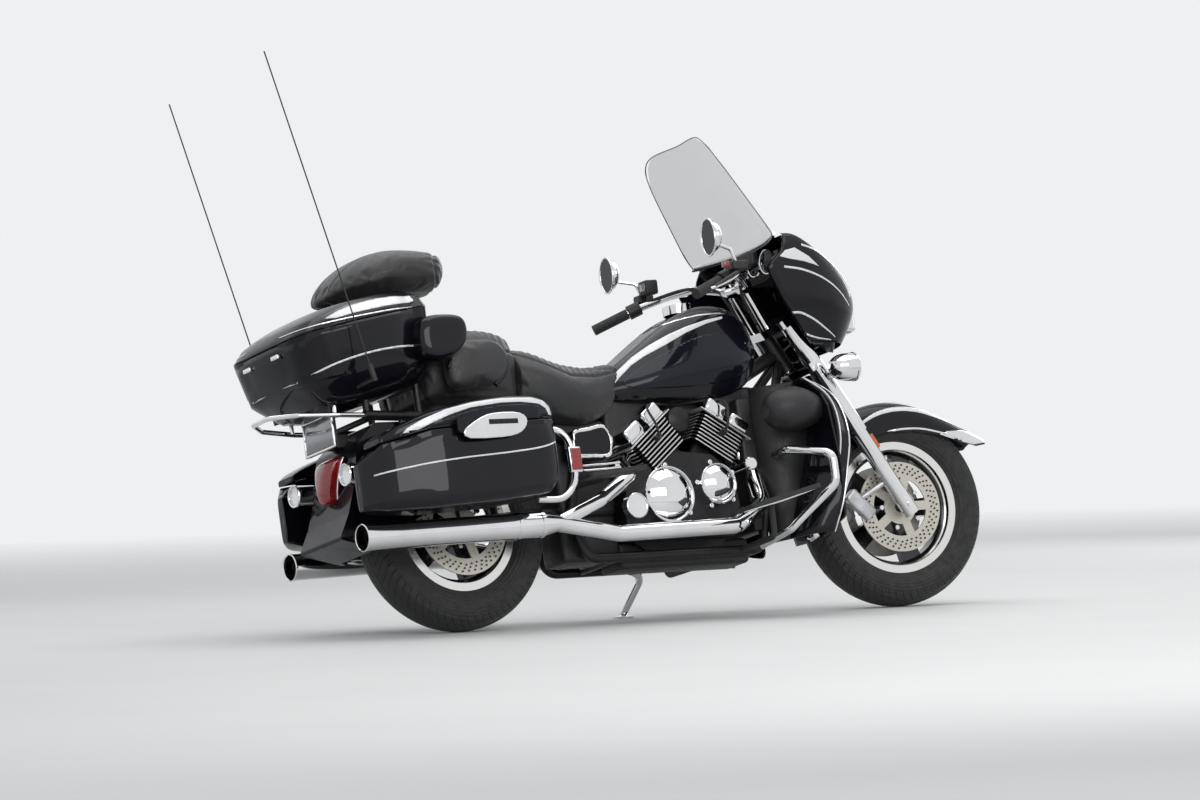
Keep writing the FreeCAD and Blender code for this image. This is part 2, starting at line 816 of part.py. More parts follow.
def make_engine_case():
    upper_outline = [
        (568.0, 300.0), (600.0, 236.0), (985.0, 236.0), (1012.0, 340.0), (1000.0, 440.0),
        (930.0, 505.0), (800.0, 520.0), (660.0, 480.0), (585.0, 400.0),
    ]
    lower_outline = [(600.0, 245.0), (700.0, 180.0), (890.0, 180.0), (985.0, 245.0)]
    upper = side_plate(upper_outline, 20.0, -CASE_HALF, CASE_HALF)
    lower = side_plate(lower_outline, 6.0, -CASE_LOW_HALF, CASE_LOW_HALF)
    banks = []
    for angle in (FRONT_BANK_DEG, REAR_BANK_DEG):
        up, along = bank_frame(angle)
        banks.append(
            bank_block(
                up, along, BANK_BASE, HEAD_TOP, BARREL_HALF + FIT_GAP,
                BARREL_HALF_WIDE + FIT_GAP, 20.0,
            )
        )
        banks.append(
            bank_block(
                up, along, FIN_START - 3.0, HEAD_TOP, FIN_HALF_LONG + 3.0, FIN_HALF_WIDE + 20.0, 20.0
            )
        )
    return cut_all(merge([upper, lower]), banks)


def make_engine_covers():
    covers = []
    for x, z, radius, depth in ROUND_COVERS:
        start = CASE_HALF + FIT_GAP
        rim = radius * 0.95
        rise = depth * 0.5
        bowl_r = (rim * rim + rise * rise) / (2.0 * rise)
        base = V(x, start, z)
        drum = cylinder(base, base + Y_AXIS * (depth - rise), radius)
        neck = cylinder(base, base + Y_AXIS * depth, rim)
        bowl = ball(base + Y_AXIS * (depth - bowl_r), bowl_r)
        covers += both(merge([drum, neck.common(bowl)]))
    return Part.makeCompound(covers)


def make_intake():
    body = block(V(782.0, -74.0, 556.0), V(958.0, 74.0, 672.0))
    banks = []
    for angle in (FRONT_BANK_DEG, REAR_BANK_DEG):
        up, along = bank_frame(angle)
        banks.append(
            bank_block(
                up, along, BANK_BASE, HEAD_TOP + COVER_TALL + 12.0, FIN_HALF_LONG + FIT_GAP,
                FIN_HALF_WIDE + 20.0, FIN_CORNER,
            )
        )
    return cut_all(body, banks)


def make_radiator():
    return block(V(1150.0, -RAIL_Y + RAIL_R + FIT_GAP, 300.0), V(1194.0, RAIL_Y - RAIL_R - FIT_GAP, 620.0))


def rail_path(side):
    return [
        NECK + V(-6.0, side * 14.0, -36.0),
        V(1215.0, side * RAIL_Y, 650.0),
        V(1092.0, side * RAIL_Y, 192.0),
        V(420.0, side * RAIL_Y, 188.0),
        V(378.0, side * RAIL_Y, 330.0),
        V(440.0, side * RAIL_Y, 566.0),
        V(160.0, side * TAIL_RAIL_Y, 650.0),
        V(-340.0, side * TAIL_RAIL_Y, 676.0),
    ]


def make_frame():
    head_low = steer_point(LOW_CLAMP_AT + CLAMP_THICK / 2.0 + HEAD_GAP, 0.0, 0.0)
    head_top = steer_point(TOP_CLAMP_AT - CLAMP_THICK / 2.0 - HEAD_GAP, 0.0, 0.0)
    head = cylinder(head_low, head_top, HEAD_TUBE_R)
    bore = cylinder(head_low, head_top, STEM_R + AXLE_PLAY)
    backbone = tube(
        [NECK, V(1100.0, 0.0, 740.0), V(600.0, 0.0, 722.0), V(440.0, 0.0, 566.0)],
        BACKBONE_R,
        60.0,
    )
    pieces = [head, backbone]
    for side in (-1.0, 1.0):
        pieces.append(tube(rail_path(side), RAIL_R, 50.0))
        for x in (-140.0, -330.0):
            low = V(x, side * TAIL_RAIL_Y, 665.0)
            pieces.append(cylinder(low, low + V(0.0, 0.0, 130.0), 11.0))
        for x in (-210.0, 60.0):
            rail = V(x, side * TAIL_RAIL_Y, 664.0)
            wall = V(x, side * (BAG_INNER_Y - FIT_GAP), 540.0)
            knee = V(x, side * TAIL_RAIL_Y, 540.0)
            pieces.append(tube([rail, knee, wall], 8.0, 20.0))
        hanger = V(HANGER_X, side * 158.0, 590.0)
        pieces.append(cylinder(V(HANGER_X, side * TAIL_RAIL_Y, 660.0), hanger, 7.0))
        pieces.append(ball(hanger, 7.0))
        pieces.append(cylinder(hanger, V(HANGER_X, side * (MUFFLER_Y - 26.0), MUFFLER_END_Z + 28.0), 7.0))
    for x, z, half, radius in CROSS_TUBES:
        pieces.append(cylinder(V(x, -half, z), V(x, half, z), radius))
    pieces.append(cylinder(V(60.0, 0.0, 664.0), V(60.0, 0.0, 709.0), 9.0))
    pieces.append(stand_lug())
    stay_end = V(1480.0, 0.0, 945.0)
    pieces.append(cylinder(NECK, stay_end, 10.0))
    bar = cylinder(stay_end - Y_AXIS * 230.0, stay_end + Y_AXIS * 230.0, 6.0)
    pieces.append(bar.common(fairing_hollow(FAIRING_WALL + FIT_GAP)))
    body = merge(pieces).cut(bore)
    end = V(MUFFLER_END_X, 0.0, MUFFLER_END_Z)
    front = V(MUFFLER_FRONT_X, 0.0, MUFFLER_FRONT_Z)
    mufflers = []
    for side in (-1.0, 1.0):
        shift = Y_AXIS * side * MUFFLER_Y
        mufflers.append(cylinder(end + shift, front + shift, MUFFLER_R + FIT_GAP))
    body = body.cut(Part.makeCompound(mufflers))
    return body.cut(trunk_loft(TRUNK_LEVELS, -FIT_GAP, -FIT_GAP, 0.0))


def stand_lug():
    axis = STAND_AXIS
    near = STAND_PIVOT - axis * (STAND_EYE_HALF + FIT_GAP)
    root = V(STAND_PIVOT.x, RAIL_Y, STAND_PIVOT.z - 8.0)
    lug = cylinder(root, near, 15.0)
    plate_end = cylinder(near - axis * 8.0, near, 19.0)
    trim = cylinder(near, near + axis * 60.0, 60.0)
    pin = cylinder(near - axis * 4.0, STAND_PIVOT + axis * (STAND_EYE_HALF + 4.0), STAND_PIN_R)
    return merge([merge([lug, plate_end]).cut(trim), pin])


def make_swingarm():
    pieces = []
    for side in (-1.0, 1.0):
        pieces.append(
            tube(
                [
                    V(358.0, side * 84.0, 345.0),
                    V(320.0, side * 100.0, 345.0),
                    V(0.0, side * 116.0, REAR_TYRE_R),
                ],
                19.0,
                60.0,
            )
        )
    pieces.append(cylinder(V(362.0, -107.7, 345.0), V(362.0, 107.7, 345.0), 20.0))
    pieces.append(cylinder(V(0.0, 98.0, REAR_TYRE_R), V(0.0, 190.0, REAR_TYRE_R), 70.0))
    pieces.append(cylinder(V(0.0, -140.0, REAR_TYRE_R), V(0.0, 140.0, REAR_TYRE_R), AXLE_R))
    caliper = block(V(52.0, -104.0, 394.0), V(146.0, -62.0, 446.0))
    slot = cylinder(
        V(0.0, -REAR_DISC_Y - DISC_THICK, REAR_TYRE_R),
        V(0.0, -REAR_DISC_Y + DISC_THICK, REAR_TYRE_R),
        REAR_DISC_R + 6.0,
    )
    link = cylinder(V(110.0, -96.0, 400.0), V(110.0, -104.0, 345.0), 12.0)
    return merge(pieces + [caliper.cut(slot), link])


def tank_section(x, bottom, top, half, foot):
    tall = top - bottom
    points = [
        V(x, -foot, bottom),
        V(x, foot, bottom),
        V(x, half, bottom + tall * 0.34),
        V(x, half * 0.62, top),
        V(x, -half * 0.62, top),
        V(x, -half, bottom + tall * 0.34),
    ]
    small = min(tall, half) * 0.12
    large = min(tall, half) * 0.42
    return closed_wire(points, [small, small, large, large, large, large])


def make_tank():
    body = loft([tank_section(*row) for row in TANK_SECTIONS])
    outline = [
        (540.0, 600.0), (1300.0, 600.0), (1300.0, 890.0), (1100.0, 776.0), (600.0, 756.0),
        (540.0, 700.0),
    ]
    tunnel = side_plate(outline, 0.0, -TANK_TUNNEL_HALF, TANK_TUNNEL_HALF)
    return body.cut(tunnel)


def make_tank_console(tank):
    base = cylinder(V(985.0, 0.0, 1000.0), V(985.0, 0.0, 1030.0), 48.0)
    return base.cut(tank)


def seat_section(x, bottom, top, half, foot):
    tall = top - bottom
    points = [
        V(x, -foot, bottom),
        V(x, foot, bottom),
        V(x, half, bottom + tall * 0.6),
        V(x, half * 0.72, top),
        V(x, -half * 0.72, top),
        V(x, -half, bottom + tall * 0.6),
    ]
    large = min(tall, half) * 0.3
    small = large * 0.3
    return closed_wire(points, [small, small, large, large, large, large])


def make_rider_seat():
    seat = loft([seat_section(*row) for row in SEAT_SECTIONS])
    rows = []
    for x, bottom, top, half, foot in TANK_SECTIONS:
        rows.append(tank_section(x, bottom - 3.0, top + 1.0, half + 1.0, foot + 1.0))
    tank = loft(rows)
    spine = tube(
        [V(1100.0, 0.0, 740.0), V(600.0, 0.0, 722.0), V(440.0, 0.0, 566.0)],
        BACKBONE_R + FIT_GAP,
        60.0,
    )
    return seat.cut(tank).cut(spine)


def make_passenger_seat():
    return loft([seat_section(*row) for row in PILLION_SECTIONS])


def make_side_covers(frame):
    outline = [(372.0, 500.0), (520.0, 500.0), (535.0, 560.0), (505.0, 612.0), (385.0, 592.0)]
    panel = side_plate(outline, 18.0, -196.0, -RAIL_Y - RAIL_R - FIT_GAP)
    return Part.makeCompound(both(panel.cut(frame)))


def bag_wire(x, low, high, outer, inner, corner_low, corner_high):
    points = [V(x, -inner, low), V(x, -outer, low), V(x, -outer, high), V(x, -inner, high)]
    corner_low = min(corner_low, (outer - inner) * 0.5)
    corner_high = min(corner_high, (outer - inner) * 0.5)
    return closed_wire(points, [8.0, corner_low, corner_high, 6.0])


def make_saddlebag():
    shell = loft(
        [bag_wire(x, low, seam, outer, BAG_INNER_Y, 30.0, 4.0) for x, low, seam, outer in BAG_SECTIONS],
        True,
    )
    rows = []
    for index, (x, low, seam, outer) in enumerate(BAG_SECTIONS):
        shift = 0.0
        if index == 0:
            shift = BAG_WALL
        if index == len(BAG_SECTIONS) - 1:
            shift = -BAG_WALL
        rows.append(
            bag_wire(
                x + shift, low + BAG_WALL, seam + 2.0, outer - BAG_WALL, BAG_INNER_Y + BAG_WALL, 25.0, 2.0,
            )
        )
    cavity = loft(rows, True)
    knuckles = [hinge_fixed(at, bag_hinge_dir(), V(0.0, -1.0, 0.0), 1.0) for at in bag_hinge_points()]
    return merge([shell.cut(cavity)] + knuckles)


def make_bag_lid():
    gap = BAG_SEAM_GAP
    rows = []
    inner_rows = []
    last = len(BAG_LID_SECTIONS) - 1
    for index, (x, seam, top, outer) in enumerate(BAG_LID_SECTIONS):
        rise = top - seam
        rows.append(bag_wire(x, seam + gap, top, outer, BAG_INNER_Y, 4.0, rise * 0.45))
        shift = BAG_LID_WALL if index == 0 else 0.0
        if index == last:
            shift = -BAG_LID_WALL
        inner_rows.append(
            bag_wire(
                x + shift, seam - 2.0, top - BAG_LID_WALL, outer - BAG_LID_WALL,
                BAG_INNER_Y + BAG_LID_WALL, 2.0, rise * 0.3,
            )
        )
    lid = loft(rows, True).cut(loft(inner_rows, True))
    outline = [(-181.0, 551.0), (58.0, 572.0), (58.0, 622.0), (-181.0, 601.0)]
    latch = side_plate(outline, 14.0, -BAG_OUTER_Y - 14.0, -BAG_OUTER_Y - 1.0)
    pads = []
    for x in (-140.0, 20.0):
        z = 604.0 + 0.09 * (x + 140.0)
        pads.append(block(V(x - 14.0, -BAG_OUTER_Y - 4.0, z - 6.0), V(x + 14.0, -BAG_OUTER_Y + 26.0, z + 6.0)))
    lid = merge([lid, latch] + pads)
    outward = V(0.0, -1.0, 0.0)
    knuckles = [hinge_moving(at, bag_hinge_dir(), outward, 1.0) for at in bag_hinge_points()]
    return merge([lid] + knuckles)


def bag_hinge_dir():
    return V(1.0, 0.0, BAG_HINGE_SLOPE).normalize()


def bag_hinge_points():
    points = []
    for x in (-180.0, 110.0):
        points.append(V(x, -BAG_HINGE_Y, BAG_HINGE_Z + BAG_HINGE_SLOPE * x))
    return points


def hinge_leaf(start, end, into, rise):
    run = end - start
    reach = into * (HINGE_R + 2.0)
    corners = [start, start + reach, start + reach + rise, start + rise]
    return plate(corners, 0.0, run)


def hinge_moving(at, direction, into, up_sign):
    start = at + direction * FIT_GAP
    end = at + direction * HINGE_HALF
    up = V(0.0, 0.0, up_sign)
    barrel = cylinder(start, end, HINGE_R)
    leaf = hinge_leaf(start + up * HINGE_LEAF, end + up * HINGE_LEAF, into, up * 9.0)
    bore = cylinder(at - direction * 1.0, end + direction * 1.0, HINGE_PIN_R + HINGE_PLAY)
    return merge([barrel, leaf]).cut(bore)


def hinge_fixed(at, direction, into, up_sign):
    start = at - direction * HINGE_HALF
    up = V(0.0, 0.0, -up_sign)
    barrel = cylinder(start, at - direction * FIT_GAP, HINGE_R)
    leaf = hinge_leaf(start + up * HINGE_LEAF, at - direction * FIT_GAP + up * HINGE_LEAF, into, up * 9.0)
    pin = cylinder(start, at + direction * HINGE_HALF, HINGE_PIN_R)
    return merge([barrel, leaf, pin])


def trunk_wire(z_rear, z_front, rear, front, half, corner, front_corner):
    points = [
        V(rear, -half, z_rear),
        V(front, -half * 0.9, z_front),
        V(front, half * 0.9, z_front),
        V(rear, half, z_rear),
    ]
    return closed_wire(points, [corner, front_corner, front_corner, corner])


def trunk_loft(levels, inset, low_shift, high_shift):
    wires = []
    count = len(levels)
    for index, (z_rear, z_front, rear, front, half, corner) in enumerate(levels):
        shift = 0.0
        if index == 0:
            shift = low_shift
        if index == count - 1:
            shift = high_shift
        wires.append(
            trunk_wire(
                z_rear + shift, z_front + shift, rear + inset, front - inset,
                half - inset, corner - inset, 46.0 - inset,
            )
        )
    return loft(wires, True)


def trunk_hinge_points():
    return [TRUNK_HINGE + V(0.0, y, 0.0) for y in (-110.0, 110.0)]


def make_trunk_body():
    shell = trunk_loft(TRUNK_LEVELS, 0.0, 0.0, 0.0)
    cavity = trunk_loft(TRUNK_LEVELS, TRUNK_WALL, TRUNK_WALL, 2.0)
    into = V(-1.0, 0.0, 0.0)
    knuckles = [hinge_fixed(at, Y_AXIS, into, 1.0) for at in trunk_hinge_points()]
    return merge([shell.cut(cavity)] + knuckles)


def make_trunk_lid():
    shell = trunk_loft(TRUNK_LID_LEVELS, 0.0, TRUNK_SEAM_GAP, 0.0)
    cavity = trunk_loft(TRUNK_LID_LEVELS, TRUNK_WALL, -2.0, -TRUNK_WALL)
    into = V(-1.0, 0.0, 0.0)
    knuckles = [hinge_moving(at, Y_AXIS, into, 1.0) for at in trunk_hinge_points()]
    return merge([shell.cut(cavity)] + knuckles)


def make_backrest():
    pad = ellipsoid(V(-170.0, 0.0, 1135.0), 190.0, 205.0, 82.0)
    floor = trunk_loft(TRUNK_LID_LEVELS, -FIT_GAP, 0.0, FIT_GAP)
    below = block(V(-700.0, -300.0, 900.0), V(200.0, 300.0, 1050.0))
    pad = pad.cut(floor)
    return pad.cut(below)


def make_armrests():
    pods = []
    body = block(V(-190.0, -300.0, 800.0), V(60.0, -190.0, 925.0))
    body = body.makeFillet(34.0, body.Edges)
    trunk = trunk_loft(TRUNK_LEVELS, -0.5, 0.0, 0.0)
    body = body.cut(trunk)
    pods += both(body)
    return Part.makeCompound(pods)


def make_rack(frame):
    pieces = []
    for side in (-1.0, 1.0):
        pieces.append(
            tube(
                [
                    V(-335.0, side * TAIL_RAIL_Y, 676.0),
                    V(-430.0, side * TAIL_RAIL_Y, 680.0),
                    V(-560.0, side * 120.0, 688.0),
                    V(-628.0, side * 50.0, 695.0),
                    V(-628.0, 0.0, 695.0),
                ],
                8.0,
                24.0,
            )
        )
        pieces.append(cylinder(V(-440.0, side * 138.0, 680.0), V(-440.0, side * 138.0, 730.0), 7.0))
    rack = merge(pieces).cut(trunk_loft(TRUNK_LEVELS, -FIT_GAP, -FIT_GAP, 0.0))
    return rack.cut(frame)


def make_antennas():
    pieces = []
    trunk = trunk_loft(TRUNK_LEVELS, 0.0, 0.0, 0.0)
    for side in (-1.0, 1.0):
        base = V(ANTENNA_FOOT.x, side * ANTENNA_FOOT.y, ANTENNA_FOOT.z)
        tip = V(ANTENNA_TIP.x, side * ANTENNA_TIP.y, ANTENNA_TIP.z)
        run = (tip - base).normalize()
        arm = cylinder(V(base.x, side * 200.0, base.z - 2.0), base, 7.0).cut(trunk)
        socket = cylinder(base - run * 8.0, base + run * 46.0, 9.0)
        rod = cylinder(base + run * 40.0, tip, ANTENNA_R)
        pieces.append(merge([arm, socket, rod]))
    return Part.makeCompound(pieces)


def make_rear_fender():
    outline = [
        (-300.0, 300.0), (-330.0, 250.0), (-480.0, 290.0), (-436.0, 370.0), (-398.0, 470.0),
        (-372.0, 590.0), (-300.0, 655.0), (90.0, 655.0), (190.0, 560.0), (0.0, 420.0),
    ]
    radii = [0.0, 6.0, 10.0, 60.0, 60.0, 40.0, 40.0, 40.0, 10.0, 0.0]
    half = TAIL_RAIL_Y - RAIL_R - FIT_GAP
    side = side_plate(outline, radii, -half, half)
    low = WHEEL_REAR - V(0.0, 105.0, 0.0)
    high = WHEEL_REAR + V(0.0, 105.0, 0.0)
    well = cylinder(low, high, REAR_TYRE_R + 28.0)
    arms = block(V(-40.0, -200.0, 200.0), V(420.0, 200.0, 470.0))
    return side.cut(well).cut(arms)


def make_tail_lamp(fender):
    outline = [(-452.0, 430.0), (-385.0, 430.0), (-365.0, 560.0), (-420.0, 560.0)]
    lamp = side_plate(outline, [8.0, 0.0, 0.0, 8.0], -62.0, 62.0)
    return lamp.cut(fender)


def make_rear_signals(fender):
    pieces = []
    for side in (-1.0, 1.0):
        drum = cylinder(V(-446.0, side * 164.0, 486.0), V(-385.0, side * 164.0, 486.0), 35.0)
        arm = cylinder(V(-402.0, side * 164.0, 486.0), V(-370.0, side * 110.0, 486.0), 10.0)
        pieces.append(merge([drum, arm]).cut(fender))
    return Part.makeCompound(pieces)


def make_plate_holder(fender):
    board = block(V(-424.0, -92.0, 592.0), V(-414.0, 92.0, 700.0))
    arm = block(V(-416.0, -30.0, 600.0), V(-340.0, 30.0, 640.0))
    holes = []
    for side in (-1.0, 1.0):
        y = side * PLATE_HOLE_SPAN / 2.0
        holes.append(cylinder(V(-430.0, y, 676.0), V(-410.0, y, 676.0), PLATE_HOLE_R))
    return merge([board, arm]).cut(merge(holes)).cut(fender)


def make_exhaust():
    end = V(MUFFLER_END_X, -MUFFLER_Y, MUFFLER_END_Z)
    front = V(MUFFLER_FRONT_X, -MUFFLER_Y, MUFFLER_FRONT_Z)
    run = (front - end).normalize()
    body = cylinder(end, front, MUFFLER_R)
    hollow = cylinder(end, end + run * 90.0, MUFFLER_R - MUFFLER_WALL)
    body = body.cut(hollow)
    taper = cone(front, front + run * 70.0, MUFFLER_R, PIPE_R)
    pipe = tube(
        [
            front + run * 60.0,
            V(480.0, -MUFFLER_Y, 246.0),
            V(930.0, -MUFFLER_Y, 254.0),
            V(1078.0, -185.0, 330.0),
            V(1112.0, -96.0, 470.0),
            V(1060.0, -72.0, 536.0),
        ],
        PIPE_R,
        70.0,
    )
    rear_pipe = tube(
        [
            V(250.0, -MUFFLER_Y, 288.0),
            V(420.0, -MUFFLER_Y - 8.0, 352.0),
            V(569.0, -206.0, 438.0),
            V(608.0, -110.0, 488.0),
            V(654.0, -76.0, 516.0),
        ],
        PIPE_R - 4.0,
        36.0,
    )
    tools = []
    for angle in (FRONT_BANK_DEG, REAR_BANK_DEG):
        up, along = bank_frame(angle)
        tools.append(
            bank_block(
                up, along, BANK_BASE, HEAD_TOP, FIN_HALF_LONG + FIT_GAP, FIN_HALF_WIDE + 1.0,
                FIN_CORNER,
            )
        )
    return cut_all(merge([body, taper, pipe, rear_pipe]), tools)


def make_footboards(frame):
    pieces = []
    board = plate(
        [
            V(898.0, -392.0, 278.0), V(1180.0, -392.0, 340.0),
            V(1180.0, -268.0, 340.0), V(898.0, -268.0, 278.0),
        ],
        24.0,
        V(-3.0, 0.0, 14.0),
    )
    arm = tube(
        [V(1010.0, -RAIL_Y, 192.0), V(1010.0, -322.0, 196.0), V(1010.0, -330.0, 308.0)], 10.0, 24.0
    )
    pieces.append(merge([board, arm]).cut(frame))
    rear = plate(
        [V(335.0, -352.0, 412.0), V(552.0, -352.0, 432.0), V(552.0, -250.0, 432.0), V(335.0, -250.0, 412.0)],
        20.0,
        V(-1.0, 0.0, 12.0),
    )
    stay = cylinder(V(440.0, -256.0, 422.0), V(406.0, -RAIL_Y, 424.0), 11.0)
    pieces.append(merge([rear, stay]).cut(frame))
    out = []
    for piece in pieces:
        out += both(piece)
    return Part.makeCompound(out)


def make_guards(frame):
    guard = tube(
        [
            V(1080.0, -RAIL_Y, 200.0),
            V(1130.0, -250.0, 232.0),
            V(1235.0, -385.0, 350.0),
            V(1238.0, -385.0, 450.0),
            V(1160.0, -250.0, 492.0),
            V(1176.0, -RAIL_Y, 490.0),
        ],
        GUARD_R,
        40.0,
    )
    guard = guard.cut(frame)
    return Part.makeCompound(both(guard))


def make_leg_shields(frame):
    outline = [
        (158.0, 205.0), (325.0, 250.0), (345.0, 420.0), (320.0, 620.0), (250.0, 735.0),
        (170.0, 735.0), (182.0, 500.0),
    ]
    points = [V(SHIELD_X, -y, z) for y, z in outline]
    shield = plate(points, 22.0, V(-8.0, 0.0, 0.0))
    stay = cylinder(V(SHIELD_X - 4.0, -186.0, 600.0), V(1200.0, -RAIL_Y, 600.0), 9.0)
    shield = merge([shield, stay]).cut(frame)
    return Part.makeCompound(both(shield))


def make_pods():
    rings = []
    for x, radius in POD_RINGS:
        circle = Part.makeCircle(radius, V(x, -POD_Y, POD_Z), V(1.0, 0.0, 0.0))
        rings.append(Part.Wire(circle))
    return Part.makeCompound(both(Part.makeLoft(rings, True, False)))


def fairing_wire(z, rear, nose, half, inset):
    points = [
        V(rear, -half + inset, z),
        V(nose - (nose - rear) * 0.32, -half + inset, z),
        V(nose - inset, -half * 0.5, z),
        V(nose - inset, half * 0.5, z),
        V(nose - (nose - rear) * 0.32, half - inset, z),
        V(rear, half - inset, z),
    ]
    radius = min(half * 0.3, (nose - rear) * 0.3)
    return closed_wire(points, [0.0, radius, radius * 0.8, radius * 0.8, radius, 0.0])


def fairing_hollow(wall):
    rows = []
    for z, rear, nose, half in FAIRING_SECTIONS:
        rows.append(fairing_wire(z, rear - 20.0, nose, half, wall))
    z, rear, nose, half = FAIRING_SECTIONS[0]
    rows.insert(0, fairing_wire(z - 20.0, rear - 20.0, nose, half, wall))
    z, rear, nose, half = FAIRING_SECTIONS[-1]
    rows[-1] = fairing_wire(z - wall, rear - 20.0, nose, half, wall)
    return loft(rows, True)


def make_fairing():
    shell = loft([fairing_wire(*row, 0.0) for row in FAIRING_SECTIONS], True)
    z, nose, reach, radius = SHIELD_LOW
    cockpit = shield_prism(z - 60.0, z + 40.0, nose - SHIELD_THICK - 1.0, radius)
    body = shell.cut(fairing_hollow(FAIRING_WALL)).cut(cockpit)
    notch = side_plate(BAR_NOTCH, 10.0, -400.0, 400.0)
    clear = block(V(1000.0, -BAR_NOTCH_HALF, 1100.0), V(1400.0, BAR_NOTCH_HALF, 1300.0))
    fork_arch = cylinder(steer_point(380.0, 0.0, 0.0), steer_point(660.0, 0.0, 0.0), FORK_SWEEP_R)
    body = body.cut(notch.cut(clear)).cut(fork_arch)
    collar = shield_band(z - 6.0, z - FIT_GAP, nose + 3.0, radius, 242.0, 10.0)
    return merge([body, collar]).cut(headlamp_block(FIT_GAP))


def shield_prism(low, high, nose, radius):
    centre = V(nose - radius, 0.0, low)
    disc = Part.makeCylinder(radius, high - low, centre)
    return disc.common(block(V(1000.0, -400.0, low), V(1600.0, 400.0, high)))


def shield_band(low, high, nose, radius, half, thick):
    ring = Part.makeCylinder(radius, high - low, V(nose - radius, 0.0, low))
    ring = ring.cut(Part.makeCylinder(radius - thick, high - low, V(nose - radius, 0.0, low)))
    return ring.common(block(V(1150.0, -half, low), V(1600.0, half, high)))


def shield_wire(z, nose, half, radius):
    inner = radius - SHIELD_THICK
    centre = nose - radius
    angle = math.asin(half / radius)
    outer_pts = [V(centre + radius * math.cos(t), radius * math.sin(t), z) for t in (-angle, 0.0, angle)]
    inner_pts = [V(centre + inner * math.cos(t), inner * math.sin(t), z) for t in (angle, 0.0, -angle)]
    edges = [
        Part.Arc(*outer_pts).toShape(),
        Part.makeLine(outer_pts[2], inner_pts[0]),
        Part.Arc(*inner_pts).toShape(),
        Part.makeLine(inner_pts[2], outer_pts[0]),
    ]
    return Part.Wire(edges)


def make_windshield():
    sheet = loft([shield_wire(*SHIELD_LOW), shield_wire(*SHIELD_HIGH)], True)
    points = [V(900.0, y, z) for y, z in SHIELD_OUTLINE]
    keep = plate(points, [10.0, 60.0, 60.0, 90.0, 90.0, 60.0, 60.0, 10.0], V(600.0, 0.0, 0.0))
    return sheet.common(keep)


def headlamp_block(grow):
    low = V(1500.0 - grow, -96.0 - grow, 906.0 - grow)
    high = V(1588.0 + grow, 96.0 + grow, 1016.0 + grow)
    lamp = block(low, high)
    return lamp.makeFillet(20.0 + grow, lamp.Edges)


def make_headlamp():
    return headlamp_block(0.0)


def make_dashboard(fairing):
    outline = [(1294.0, 1124.0), (1328.0, 1096.0), (1328.0, 1180.0), (1294.0, 1176.0)]
    panel = side_plate(outline, 6.0, -176.0, 176.0)
    hood = block(V(1262.0, -66.0, 1148.0), V(1296.0, 66.0, 1200.0))
    hood = hood.makeFillet(12.0, hood.Edges)
    stay = block(V(1320.0, -60.0, 1100.0), V(1488.0, 60.0, 1112.0))
    dash = merge([panel, hood, stay])
    return dash.cut(fairing)


def lowest(centre, axle, ring_r, crown_r):
    return centre.z - ring_r * math.sqrt(1.0 - axle.z * axle.z) - crown_r


def crown(outer_r, drop, crown_half):
    crown_r = (crown_half * crown_half + drop * drop) / (2.0 * drop)
    return outer_r - crown_r, crown_r


def stance():
    front_axle = V(0.0, 1.0, 0.0)
    turn = FreeCAD.Rotation(STEER_DIR, STEER_REST_DEG)
    front_axle = turn.multVec(front_axle)
    front_centre = STEER_AT + turn.multVec(WHEEL_FRONT - STEER_AT)
    lean = FreeCAD.Rotation(V(1.0, 0.0, 0.0), -LEAN_DEG)
    front_ring, front_crown = crown(FRONT_TYRE_R, FRONT_CROWN_DROP, FRONT_CROWN_HALF)
    rear_ring, rear_crown = crown(REAR_TYRE_R, REAR_CROWN_DROP, REAR_CROWN_HALF)
    low = -3.0
    high = 3.0
    for step in range(60):
        pitch = (low + high) / 2.0
        whole = lean.multiply(FreeCAD.Rotation(Y_AXIS, pitch))
        front = lowest(whole.multVec(front_centre), whole.multVec(front_axle), front_ring, front_crown)
        rear = lowest(whole.multVec(WHEEL_REAR), whole.multVec(Y_AXIS), rear_ring, rear_crown)
        if front > rear:
            low = pitch
        else:
            high = pitch
    return FreeCAD.Placement(V(0.0, 0.0, -rear), whole)


def make_side_stand(place):
    back = place.inverse()
    foot = place.multVec(STAND_FOOT)
    foot_low = back.multVec(V(foot.x, foot.y, 0.0))
    foot_top = back.multVec(V(foot.x, foot.y, STAND_FOOT_THICK))
    pad = cylinder(foot_low, foot_top, STAND_FOOT_R)
    ankle = back.multVec(V(foot.x, foot.y, STAND_FOOT_THICK + STAND_R - 3.0))
    leg = tube([STAND_PIVOT, STAND_KNEE, ankle], STAND_R, 30.0)
    reach = STAND_AXIS * STAND_EYE_HALF
    eye = cylinder(STAND_PIVOT - reach, STAND_PIVOT + reach, STAND_EYE_R)
    hole = cylinder(STAND_PIVOT - reach * 3.0, STAND_PIVOT + reach * 3.0, STAND_PIN_R + HINGE_PLAY)
    inside = cylinder(STAND_PIVOT - reach * 5.0, STAND_PIVOT - reach, 60.0)
    return merge([pad, leg, eye, ball(ankle, STAND_R)]).cut(hole).cut(inside)


